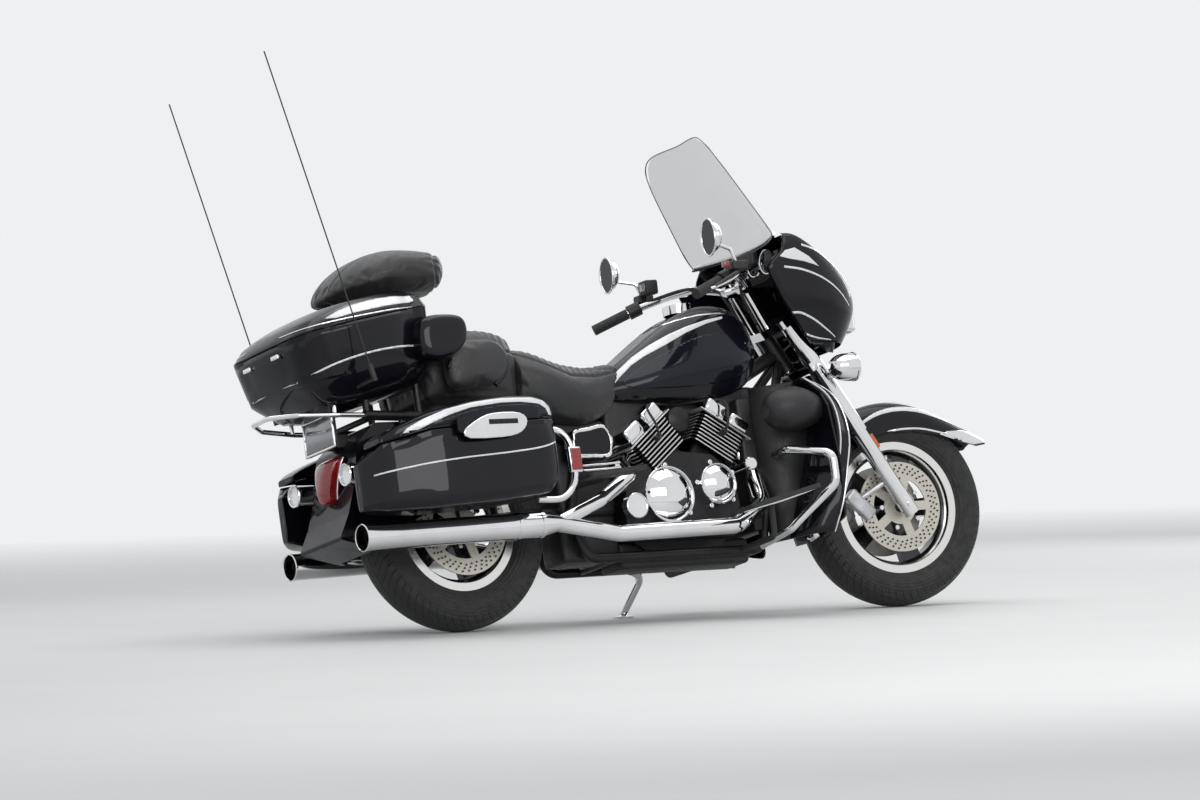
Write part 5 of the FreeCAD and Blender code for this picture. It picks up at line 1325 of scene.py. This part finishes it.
def dress_leg_shield(side, word):
    """The curved front of a leg shield, its inner wall, bright edge and stripe."""
    rows = [leg_ring(side, *row) for row in LEG_RINGS]
    foot_x, foot_y = LEG_WALL_FOOT
    seat = Vector((6.0, 4.0 * side, 0.0))
    walls = [[Vector((foot_x, foot_y * side, row[0].z)), row[0] + seat] for row in rows]
    wall = make("leg_wall_" + word, "chassis", "plastic", (add_surface, smooth_rings(walls, 4)))
    thicken(wall, LEG_THICK, -1.0)
    skin = make("leg_skin_" + word, "chassis", "paint", (add_surface, smooth_rings(rows, 4)))
    thicken(skin, LEG_THICK, 1.0)
    edge = [row[-1] for row in rows]
    make("leg_edge_" + word, "chassis", "chrome", (add_hose, edge, 3.5, 10, 5))
    line = [row[-3] + Vector((0.0, 3.6 * side, 0.0)) for row in rows[:5]]
    make("leg_line_" + word, "chassis", "stripe_paint", (add_hose, line, 3.0, 8, 5))


class TOURER_OT_fairing_trim(bpy.types.Operator):
    """Paint the fairing's wings and lines, shape the leg shields, sleeve the fork and edge the windshield"""

    bl_idname = "tourer.fairing_trim"
    bl_label = "Fairing, leg shields and windshield trim"

    def execute(self, context):
        for side, word in BOTH:
            add_trim("wing_panel_" + word, "fairing", WING_PANEL, "stripe_paint", "chassis", side, pitch=5.0)
            for index, line in enumerate(WING_LINES):
                name = "wing_line_%s_%d" % (word, index)
                add_trim(name, "fairing", band(line, WING_LINE_WIDTHS), "stripe_paint", "chassis", side)
            dress_leg_shield(side, word)
            low, high = (steer_at(along, FORK_LEG[0], side * FORK_LEG[1]) for along in (290.0, 600.0))
            make("fork_sleeve_" + word, "steering", "chrome", (add_rod, low, high, 32.0, 29.0, 40))
        edge = [(shield_x(y, z), y, z) for y, z in SHIELD_EDGE]
        make("shield_edge", "chassis", "dark_chrome", (add_hose, edge, 2.2, 8, 6))
        foot = [(shield_x(y, SHIELD_FOOT_Z) + 5.0, y, SHIELD_FOOT_Z) for y in range(-240, 241, 40)]
        make("shield_foot", "chassis", "chrome", (add_hose, foot, 6.0, 10, 4))
        return {"FINISHED"}


# Seats and pads

SEAT_EDGE = ((-100.0, 868.0), (240.0, 862.0), (300.0, 838.0), (440.0, 780.0), (560.0, 782.0), (680.0, 806.0))
SEAT_TUFTS = ((632.0, 0.0), (584.0, -70.0), (584.0, 70.0))
PILLOW_OUTLINE = [
    (-352, 1074), (-318, 1130), (-252, 1184), (-180, 1211), (-94, 1213), (-20, 1206), (34, 1192),
    (52, 1160), (50, 1120), (32, 1086), (0, 1070), (-120, 1062), (-260, 1064),
]
PILLOW_HALF = 206.0
POD_OUTLINE = [
    (-186, 900), (-168, 946), (-120, 962), (-44, 961), (-10, 944), (-5, 904), (-19, 866), (-61, 833),
    (-130, 816), (-178, 836),
]
POD_STATIONS = ((186, 1.0), (262, 1.0), (280, 0.97), (291, 0.9), (297, 0.78))
REST_OUTLINE = [
    (-50, 868), (10, 884), (60, 891), (116, 887), (148, 868), (166, 836), (156, 790), (122, 752), (53, 740),
    (-50, 746),
]
REST_STATIONS = ((182, 0.9), (190, 1.0), (222, 1.0), (232, 0.94), (238, 0.8))
REST_BAR = [(-60, 800), (-36, 834), (24, 854), (110, 858), (146, 842), (156, 812), (142, 776), (104, 742)]
REST_BAR_Y = 226.0
# How long the air pressure acts on a pad, and how stiff its cover is
AIR_FRAMES = 15
COVER_STIFFNESS = 22.0


def swell(piece, pressure, cap):
    """Blows a closed pad up a little with cloth under air pressure, and keeps the result."""
    rest = [vert.co.copy() for vert in piece.data.vertices]
    setup = piece.modifiers.new("Air", "CLOTH").settings
    setup.quality = 4
    setup.mass = 0.3
    setup.tension_stiffness = setup.compression_stiffness = COVER_STIFFNESS
    setup.bending_stiffness = 1.4
    setup.use_pressure = True
    setup.uniform_pressure_force = pressure
    setup.effector_weights.gravity = 0.0
    scene = bpy.context.scene
    for step in range(AIR_FRAMES):
        scene.frame_set(step + 1)
    puffed = evaluated_mesh(piece)
    moved = [vert.co.copy() for vert in puffed.vertices]
    piece.modifiers.clear()
    for vert, start, end in zip(piece.data.vertices, rest, moved):
        run = end - start
        if run.length > cap:
            run = run.normalized() * cap
        vert.co = start + run
    bpy.data.meshes.remove(puffed)
    scene.frame_set(1)


def apply_modifiers(piece):
    """Keeps what an object's modifiers make of its mesh."""
    mesh = evaluated_mesh(piece)
    piece.modifiers.clear()
    piece.data = mesh
    return mesh


def shape_pad(node, name, body, fold, bm=None, rounds=10):
    """Makes a stitched leather pad from a plain form: softened, blown up, then creased along its seams."""
    if bm is None:
        bm = bmesh.new()
        bm.from_mesh(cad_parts[node].data)
        weld(bm, 1e-5)
    else:
        outward(bm, STANCE)
    pad = in_scene(name, into_mesh(bm, name))
    grid = pad.modifiers.new("Even", "REMESH")
    grid.mode = "VOXEL"
    grid.voxel_size = 0.007
    soft = pad.modifiers.new("Soft", "SMOOTH")
    soft.factor = 0.6
    soft.iterations = rounds
    apply_modifiers(pad)
    swell(pad, 3.5, 0.006)
    finer = pad.modifiers.new("Fine", "SUBSURF")
    finer.levels = finer.render_levels = 1
    fine = apply_modifiers(pad)
    back = (STANCE @ MILLIMETRE).inverted()
    turn = back.to_3x3()
    folds = [
        (vert.normal.copy(), fold(back @ vert.co, (turn @ vert.normal).normalized()))
        for vert in fine.vertices
    ]
    for vert, (away, height) in zip(fine.vertices, folds):
        vert.co += away * height * 0.001
    fine.materials.clear()
    fine.materials.append(FINISH["leather"])
    fine.shade_smooth()
    pad.data.name = name
    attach(pad, body)
    if node:
        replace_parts(pad, node)


def hump(distance, width):
    """One at no distance, fading to nothing beyond the width."""
    return math.exp(-(distance / width) ** 2)


def crease(distance, width=5.0, depth=4.0):
    """A sewn seam: a narrow valley."""
    return -depth * hump(distance, width)


def gathers(along, fade):
    """Pleats gathered into a seam, fading away from it."""
    pitch = millimetres(sizes().pleat_pitch)
    return millimetres(sizes().pleat_depth) * fade * (math.sin(math.tau * along / pitch) - 0.4)


def tuft(point, x, y):
    """A button pulled into the leather, with creases running out from it."""
    reach = math.hypot(point.x - x, point.y - y)
    rays = math.sin(9.0 * math.atan2(point.y - y, point.x - x)) * hump(reach - 20.0, 16.0)
    return 1.6 * rays - 7.0 * hump(reach, 12.0)


def saddle_top(x):
    """Height of the seat's edge seam along the machine."""
    for (x0, z0), (x1, z1) in zip(SEAT_EDGE[:-1], SEAT_EDGE[1:]):
        if x <= x1:
            return z0 + (z1 - z0) * max(0.0, (x - x0) / (x1 - x0))
    return SEAT_EDGE[-1][1]


def seat_fold(point, normal):
    """Edge seam round the top, gathers inside it, a seam down each side and buttons."""
    rise = point.z - saddle_top(point.x)
    move = crease(rise, depth=5.0)
    edge = max(0.0, min(1.0, rise / 22.0)) * max(0.0, min(1.0, (abs(point.y) - 60.0) / 60.0))
    move += gathers(point.x + abs(point.y) * 0.25, edge * max(0.0, normal.z) ** 0.5)
    if normal.z > 0.2:
        move += crease(abs(point.y) - 96.0 + 0.06 * (point.x - 400.0))
        move += sum(tuft(point, x, y) for x, y in SEAT_TUFTS)
    return move


def pillow_fold(point, normal):
    """Seams from the back to the front edge, a piped seam round the front face and gathers into it."""
    front = point.x - (26.0 - 0.0016 * point.y ** 2)
    move = crease(front, depth=5.0)
    move += gathers(point.z + point.y * 0.5, hump(front + 16.0, 16.0) + hump(front - 12.0, 10.0))
    if normal.z > 0.1:
        move += crease(abs(point.y) - 92.0 - 0.25 * (point.x + 150.0))
    return move + crease(point.z - 1066.0 - 0.05 * point.x)


def rest_fold(point, normal):
    """One seam round the arm rest."""
    return crease(abs(point.y) - 214.0, 4.0, 3.0)


def side_pillow(bm, outline, stations, side=1.0):
    """A rounded body across the machine: its outline shrunk to a share of itself at each (y, share)."""
    ring = [Vector((x, 0.0, z)) for x, z in closed_curve(outline)]
    middle = sum(ring, Vector()) / len(ring)
    rows = []
    for y, share in stations:
        row = [middle.lerp(point, share) + Vector((0.0, side * y, 0.0)) for point in ring]
        rows.append(row + row[:1])
    add_surface(bm, rows, (0, -1))


def rounded_stations(half, squash=2.6, count=13):
    """Stations across a body whose ends are rounded like a squashed ball."""
    stations = []
    for step in range(count):
        share = -1.0 + 2.0 * step / (count - 1)
        reach = math.sin(share * math.pi / 2.0 * 0.995)
        stations.append((half * reach, (1.0 - abs(reach) ** squash) ** (1.0 / squash)))
    return stations


class TOURER_OT_seats(bpy.types.Operator):
    """Stuff, seam and pleat the seats, the backrest and the arm rests, with the speaker pods behind them"""

    bl_idname = "tourer.seats"
    bl_label = "Seats and pads"

    def execute(self, context):
        shape_pad("rider_seat", "rider_seat_pad", "chassis", seat_fold)
        shape_pad("passenger_seat", "passenger_seat_pad", "chassis", seat_fold)
        bm = bmesh.new()
        side_pillow(bm, PILLOW_OUTLINE, rounded_stations(PILLOW_HALF))
        shape_pad("backrest_pad", "backrest_pillow", "trunk_lid", pillow_fold, bm, rounds=4)
        for side, word in BOTH:
            bm = bmesh.new()
            side_pillow(bm, REST_OUTLINE, REST_STATIONS, side)
            node = "armrests" if side < 0 else None
            shape_pad(node, "arm_rest_" + word, "chassis", rest_fold, bm, rounds=3)
            bar = [(x, side * REST_BAR_Y, z) for x, z in REST_BAR]
            make("arm_bar_" + word, "chassis", "cast_black", (add_hose, bar, 8.0, 12, 6))
        pods = [(side_pillow, POD_OUTLINE, POD_STATIONS, side) for side in SIDES]
        make("speaker_pods", "chassis", "paint", *pods)
        return {"FINISHED"}


# Engine

KNOB = (1049.0, 110.0, 461.0)
KNOB_OUT = 82.0
KNOB_CAP = [(-6.0, 13.0), (-4.0, 21.0), (4.0, 22.5), (9.0, 18.0), (10.0, 0.01)]
CASE_HALF = 150.0
CASE_COVERS = (
    # x, z, radius, depth, bolts
    (728.0, 375.0, 91.0, 62.0, 6), (927.0, 404.0, 66.0, 46.0, 5), (600.0, 344.0, 40.0, 56.0, 4),
)
# Bolts nearer the crank than this sit in the case, and further ones would hang over its edge
CASE_REACH = 190.0
HEAD_BOLTS_X = (-66.0, 66.0)
HEAD_HOODS_X = (-48.0, 48.0)
LEAD_END = (866.0, 60.0, 690.0)
COOLANT_HOSES = (
    ([(1140.0, 70.0, 330.0), (1096.0, 128.0, 300.0), (1010.0, 158.0, 318.0)], 11.0),
    ([(1142.0, 60.0, 600.0), (1080.0, 40.0, 640.0), (1000.0, 30.0, 620.0)], 13.0),
)
# Dark boxes that close the view through the machine: low corner, high corner, rounding
CORE_BOXES = (
    ((590.0, -72.0, 560.0), (1110.0, 72.0, 716.0), 20.0),
    ((352.0, -112.0, 330.0), (566.0, 112.0, 640.0), 18.0),
    ((352.0, -96.0, 186.0), (566.0, 40.0, 340.0), 16.0),
    ((1070.0, -132.0, 250.0), (1130.0, 132.0, 690.0), 10.0),
    ((1030.0, -92.0, 640.0), (1128.0, 92.0, 840.0), 16.0),
    ((1100.0, -80.0, 640.0), (1184.0, 80.0, 740.0), 16.0),
    ((560.0, -96.0, 156.0), (1060.0, 34.0, 240.0), 16.0),
)
INTAKE_AT = (838.0, 72.0, 628.0)
INTAKE_COVER = [(0.0, 58.0), (40.0, 52.0), (62.0, 40.0), (70.0, 18.0), (71.0, 0.01)]
SIDE_COVER = [(384, 508), (450, 507), (512, 510), (526, 560), (503, 601), (444, 594), (392, 585), (382, 546)]
SIDE_BARS_Z = (478.0, 462.0)
BAG_GUARD = [
    (192, 300, 556), (246, 306, 574), (284, 314, 540), (292, 323, 470), (276, 330, 396), (222, 333, 350),
    (140, 322, 352),
]


def add_knob(bm, side):
    """The round knob on its stalk ahead of the front cylinders."""
    x, y, z = KNOB
    start = Vector((x, side * y, z))
    end = start + ACROSS * side * KNOB_OUT
    add_rod(bm, start, end, 13.0)
    add_turned(bm, end, ACROSS * side, KNOB_CAP, 32)


def add_cover_rim(bm, side, x, z, radius, depth):
    """A raised bright rim round one of the case's covers."""
    profile = [
        (-1.0, radius + 0.2), (1.6, radius + 1.8), (4.0, radius), (4.4, radius * 0.965),
        (-1.0, radius * 0.955),
    ]
    add_turned(bm, (x, side * (CASE_HALF + 0.3 + depth * 0.5), z), ACROSS * side, profile, 56)


def add_cover_bolts(bm, side, x, z, radius, count):
    """Cap bolts with sockets round one of the case's covers, where the case carries them."""
    out = ACROSS * side
    for step in range(count):
        angle, ring = math.tau * (step + 0.4) / count, radius + 9.0
        head = Vector((x + math.cos(angle) * ring, side * CASE_HALF, z + math.sin(angle) * ring))
        if (head - Vector((CRANK.x, head.y, CRANK.z))).length < CASE_REACH:
            add_rod(bm, head, head + out * 13.0, 8.0, 8.0, 16)
            add_rod(bm, head + out * 13.0, head + out * 16.0, 5.5, 4.5, 6)


def add_head_bolts(bm, side, axes):
    """Two bolts on a cylinder head."""
    for x in HEAD_BOLTS_X:
        base, tip = (axes @ Vector((x, side * 120.0, height)) for height in (250.0, 272.0))
        add_rod(bm, base, tip, 7.5, 7.5, 6)


def add_plug_lead(bm, side, axes, lean):
    """A plug cap and its lead, which leans towards the middle of the engine."""
    inner, outer = axes @ Vector((0.0, side * 136.0, 214.0)), axes @ Vector((0.0, side * 166.0, 226.0))
    add_rod(bm, inner, outer, 9.0, 11.0, 14)
    rise = axes @ Vector((lean * 0.4, side * 176.0, 262.0))
    over = axes @ Vector((lean * 1.6, side * 150.0, 318.0))
    add_hose(bm, [outer, rise, over, *mirrored([LEAD_END], side)], 4.2)


def dress_banks():
    """One wide fin and the bright hoods on each bank's head."""
    for word, angle_deg in BANKS.items():
        fin, hoods = bmesh.new(), bmesh.new()
        add_box(fin, (-104.0, -151.0, 256.0), (104.0, 151.0, 260.0), 1.2)
        for x in HEAD_HOODS_X:
            add_box(hoods, (x - 39.0, -144.0, 266.0), (x + 39.0, 144.0, 313.0), 11.0)
        for bm in (fin, hoods):
            bmesh.ops.transform(bm, matrix=bank_axes(angle_deg), verts=bm.verts)
        place_piece(fin, "head_fins_" + word, "chassis", "fins_" + word)
        place_piece(hoods, "head_hoods_" + word, "chassis", "chrome")


def dress_side(side, word):
    """The side cover's rim and bars, and the saddlebag's guard with its plate and reflector."""
    rim = band(SIDE_COVER + SIDE_COVER[:2], 11)
    add_trim("side_cover_rim_" + word, "side_covers", rim, "chrome", "chassis", side, pitch=4.0)
    bars = [
        (add_hose, mirrored([(410.0, 186.0, z), (480.0, 190.0, z + 2.0), (556.0, 178.0, z + 8.0)], side), 4.5)
        for z in SIDE_BARS_Z
    ]
    make("side_bars_" + word, "chassis", "chrome", *bars)
    make("bag_guard_" + word, "chassis", "chrome", (add_hose, mirrored(BAG_GUARD, side), 10.5, 16))
    plate = (add_plate, side * 333.0, 8.0, (266.0, 430.0), (312.0, 512.0), 5.0)
    make("guard_plate_" + word, "chassis", "chrome", plate)
    reflector = (add_plate, side * 342.0, 3.0, (270.0, 436.0), (308.0, 506.0), 2.5)
    make("guard_reflector_" + word, "chassis", "red_lens", reflector)


class TOURER_OT_engine_details(bpy.types.Operator):
    """Fit the engine's rims, bolts, leads, hoses and hoods, and dress the side covers and bag guards"""

    bl_idname = "tourer.engine_details"
    bl_label = "Engine details"

    def execute(self, context):
        bolts, rims, leads = bmesh.new(), bmesh.new(), bmesh.new()
        for side in SIDES:
            add_knob(rims, side)
            for x, z, radius, depth, count in CASE_COVERS:
                add_cover_rim(rims, side, x, z, radius, depth)
                add_cover_bolts(bolts, side, x, z, radius, count)
            for angle_deg in BANKS.values():
                axes = bank_axes(angle_deg)
                add_head_bolts(bolts, side, axes)
                add_plug_lead(leads, side, axes, math.copysign(30.0, -angle_deg))
        dress_banks()
        place_piece(bolts, "engine_bolts", "chassis", "chrome")
        place_piece(rims, "cover_rims", "chassis", "chrome")
        place_piece(leads, "plug_leads", "chassis", "rubber")
        hoses = [
            (add_hose, mirrored(path, side), radius, 14)
            for side in SIDES for path, radius in COOLANT_HOSES
        ]
        make("coolant_hoses", "chassis", "rubber", *hoses)
        make("air_box", "chassis", "plastic", *[(add_box, *box) for box in CORE_BOXES])
        ducts = [
            (add_turned, mirrored([INTAKE_AT], side)[0], ACROSS * side, INTAKE_COVER, 36)
            for side in SIDES
        ]
        make("intake_covers", "chassis", "cast_black", *ducts)
        for side, word in BOTH:
            dress_side(side, word)
        return {"FINISHED"}


# Exhausts, with profiles as height along the muffler and radius

MUFFLER = ((-459.0, 232.0, 272.0), (190.0, 232.0, 288.0))
MUFFLER_TIP = [(-1.0, 39.2), (-3.5, 41.0), (-1.0, 43.6), (4.0, 43.4), (5.0, 42.1), (3.0, 39.2)]
MUFFLER_CLAMP = [(-8.0, 42.1), (-6.5, 43.8), (6.5, 43.8), (8.0, 42.1)]
MUFFLER_CLAMPS_ALONG = (560.0, 646.0)
MUFFLER_CORE = [(0.0, 38.9), (-0.5, 20.0), (-24.0, 19.0), (-24.0, 12.0), (0.0, 10.0), (2.0, 0.01)]
MUFFLER_CORE_ALONG = 86.0


class TOURER_OT_exhaust_details(bpy.types.Operator):
    """Fit the muffler tips and clamps and the near-black inside of their outlets, in painted shade"""

    bl_idname = "tourer.exhaust_details"
    bl_label = "Exhaust details"

    def execute(self, context):
        for side, word in BOTH:
            start, end = (Vector(point) for point in mirrored(MUFFLER, side))
            run = (end - start).normalized()
            tip = (add_turned, start, run, MUFFLER_TIP, 48)
            clamps = [
                (add_turned, start + run * along, run, MUFFLER_CLAMP, 48) for along in MUFFLER_CLAMPS_ALONG
            ]
            make("muffler_rings_" + word, "chassis", "chrome", tip, *clamps)
            # The outlet's inside is a near-black cap: painted shade
            core = (add_turned, start + run * MUFFLER_CORE_ALONG, run, MUFFLER_CORE, 32)
            make("muffler_core_" + word, "chassis", "hole", core)
        return {"FINISHED"}


# Cockpit

DIALS = ((-112.0, 38.0), (-34.0, 30.0), (34.0, 30.0), (112.0, 38.0))
DIALS_AT = (1292.5, 1148.0)
MIRROR = (951.0, 385.0, 1203.0)
MIRROR_HALF = (48.0, 60.0)
LEVER = [(1072, 326, 1092), (1050, 372, 1080), (1004, 408, 1060), (944, 430, 1038), (914, 434, 1030)]
BOARD_EDGE = [(898.0, 336.0, 280.0), (1040.0, 337.0, 308.0), (1178.0, 336.0, 342.0)]
STOP_SWITCH = (add_box, (1004.0, -372.0, 1106.0), (1026.0, -350.0, 1126.0), 4.0)
AUDIO_POD = (
    (add_box, (1030.0, 262.0, 1118.0), (1076.0, 322.0, 1166.0), 6.0),
    (add_rod, (1052.0, 292.0, 1100.0), (1052.0, 292.0, 1122.0), 8.0),
)
AUDIO_POD_FACE = (add_box, (1027.4, 270.0, 1130.0), (1030.6, 306.0, 1156.0), 1.0)
HOSE_PATH = [
    (1046, 318, 1090), (1066, 266, 1101), (1130, 166, 1113), (1196, 90, 1094), (1218, 60, 1050),
    (1262, 48, 960),
]


def add_oval(bm, at, direction, half_wide, half_tall):
    """A flat oval face."""
    axes = facing(at, direction) @ Matrix.Diagonal((half_wide, half_tall, 1.0, 1.0))
    bmesh.ops.create_circle(bm, cap_ends=True, segments=40, radius=1.0, matrix=axes)


def dial_rim(radius):
    """Profile of a dial's bright rim."""
    return [(0.0, radius + 4.0), (6.0, radius + 3.0), (5.0, radius), (1.0, radius - 0.5)]


class TOURER_OT_cockpit(bpy.types.Operator):
    """Fit the dials, mirror glass, hand levers, switch, audio pod and hoses, and edge the floorboards"""

    bl_idname = "tourer.cockpit"
    bl_label = "Cockpit details"

    def execute(self, context):
        dials = [(Vector((DIALS_AT[0], y, DIALS_AT[1])), radius) for y, radius in DIALS]
        rims = [(add_turned, at, -AHEAD, dial_rim(radius), 32) for at, radius in dials]
        make("dial_rims", "chassis", "chrome", *rims)
        glass = [(add_dome, at - AHEAD, -AHEAD, radius, 3.5) for at, radius in dials]
        make("dial_glass", "chassis", "mirror", *glass)
        wide, tall = MIRROR_HALF
        turns = [math.tau * step / 16.0 for step in range(17)]
        oval = [Vector((0.0, math.sin(turn) * wide, math.cos(turn) * tall)) for turn in turns]
        for side, word in BOTH:
            at = Vector(mirrored([MIRROR], side)[0])
            face = (add_oval, at - AHEAD * 0.8, -AHEAD, wide, tall)
            make("mirror_glass_" + word, "steering", "mirror", face)
            ring = (add_hose, [at + point for point in oval], 3.2, 8, 3)
            make("mirror_ring_" + word, "steering", "chrome", ring)
            make("hand_lever_" + word, "steering", "chrome", (add_hose, mirrored(LEVER, side), 5.5, 12))
            make("board_edge_" + word, "chassis", "chrome", (add_hose, mirrored(BOARD_EDGE, side), 5.0))
        make("stop_switch", "steering", "red_lens", STOP_SWITCH)
        make("audio_pod", "steering", "plastic", *AUDIO_POD)
        make("audio_pod_face", "steering", "dark_chrome", AUDIO_POD_FACE)
        hoses = [(add_hose, mirrored(HOSE_PATH, side), 5.0) for side in SIDES]
        make("control_hoses", "steering", "rubber", *hoses)
        return {"FINISHED"}


# Tail

PLATE = (add_box, (-427.0, -86.0, 600.0), (-424.4, 86.0, 692.0), 1.0)
PLATE_RIM = (
    ((-430.0, -94.0, 694.0), (-423.0, 94.0, 702.0)), ((-430.0, -94.0, 590.0), (-423.0, 94.0, 598.0)),
    ((-430.0, -94.0, 590.0), (-423.0, -86.0, 702.0)), ((-430.0, 86.0, 590.0), (-423.0, 94.0, 702.0)),
)


class TOURER_OT_tail(bpy.types.Operator):
    """Fit the blank number plate and its frame"""

    bl_idname = "tourer.tail"
    bl_label = "Tail details"

    def execute(self, context):
        make("blank_plate", "chassis", "dark_chrome", PLATE)
        make("plate_rim", "chassis", "chrome", *[(add_box, low, high, 2.0) for low, high in PLATE_RIM])
        return {"FINISHED"}


class TOURER_PT_dresser(bpy.types.Panel):
    """Lists the sizes, the colours and the steps of the dresser"""

    bl_idname = "TOURER_PT_dresser"
    bl_label = "Tourer"
    bl_space_type = "VIEW_3D"
    bl_region_type = "UI"
    bl_category = "Tourer"

    def draw(self, context):
        layout = self.layout
        for owner in (context.scene.tourer_sizes, context.scene.tourer_colours):
            for key in owner.__annotations__:
                layout.prop(owner, key)
        for step in STEPS:
            layout.operator(step.bl_idname)


STEPS = (
    TOURER_OT_stage, TOURER_OT_finishes, TOURER_OT_skins, TOURER_OT_tank_trim, TOURER_OT_trunk_trim,
    TOURER_OT_bag_trim, TOURER_OT_wheel_details, TOURER_OT_lamps, TOURER_OT_fender_trim,
    TOURER_OT_fairing_trim, TOURER_OT_seats, TOURER_OT_engine_details, TOURER_OT_exhaust_details,
    TOURER_OT_cockpit, TOURER_OT_tail,
)
CLASSES = (TourerSizes, TourerColours) + STEPS + (TOURER_PT_dresser,)


def register():
    """Registers every class and hangs the sizes and colours on the scene."""
    for item in CLASSES:
        bpy.utils.register_class(item)
    bpy.types.Scene.tourer_sizes = bpy.props.PointerProperty(type=TourerSizes)
    bpy.types.Scene.tourer_colours = bpy.props.PointerProperty(type=TourerColours)


def unregister():
    """Takes back what register did."""
    del bpy.types.Scene.tourer_colours
    del bpy.types.Scene.tourer_sizes
    for item in reversed(CLASSES):
        bpy.utils.unregister_class(item)


def main():
    """Runs every step."""
    register()
    for step in STEPS:
        group, name = step.bl_idname.split(".")
        getattr(getattr(bpy.ops, group), name)()


if __name__ == "__main__":
    main()
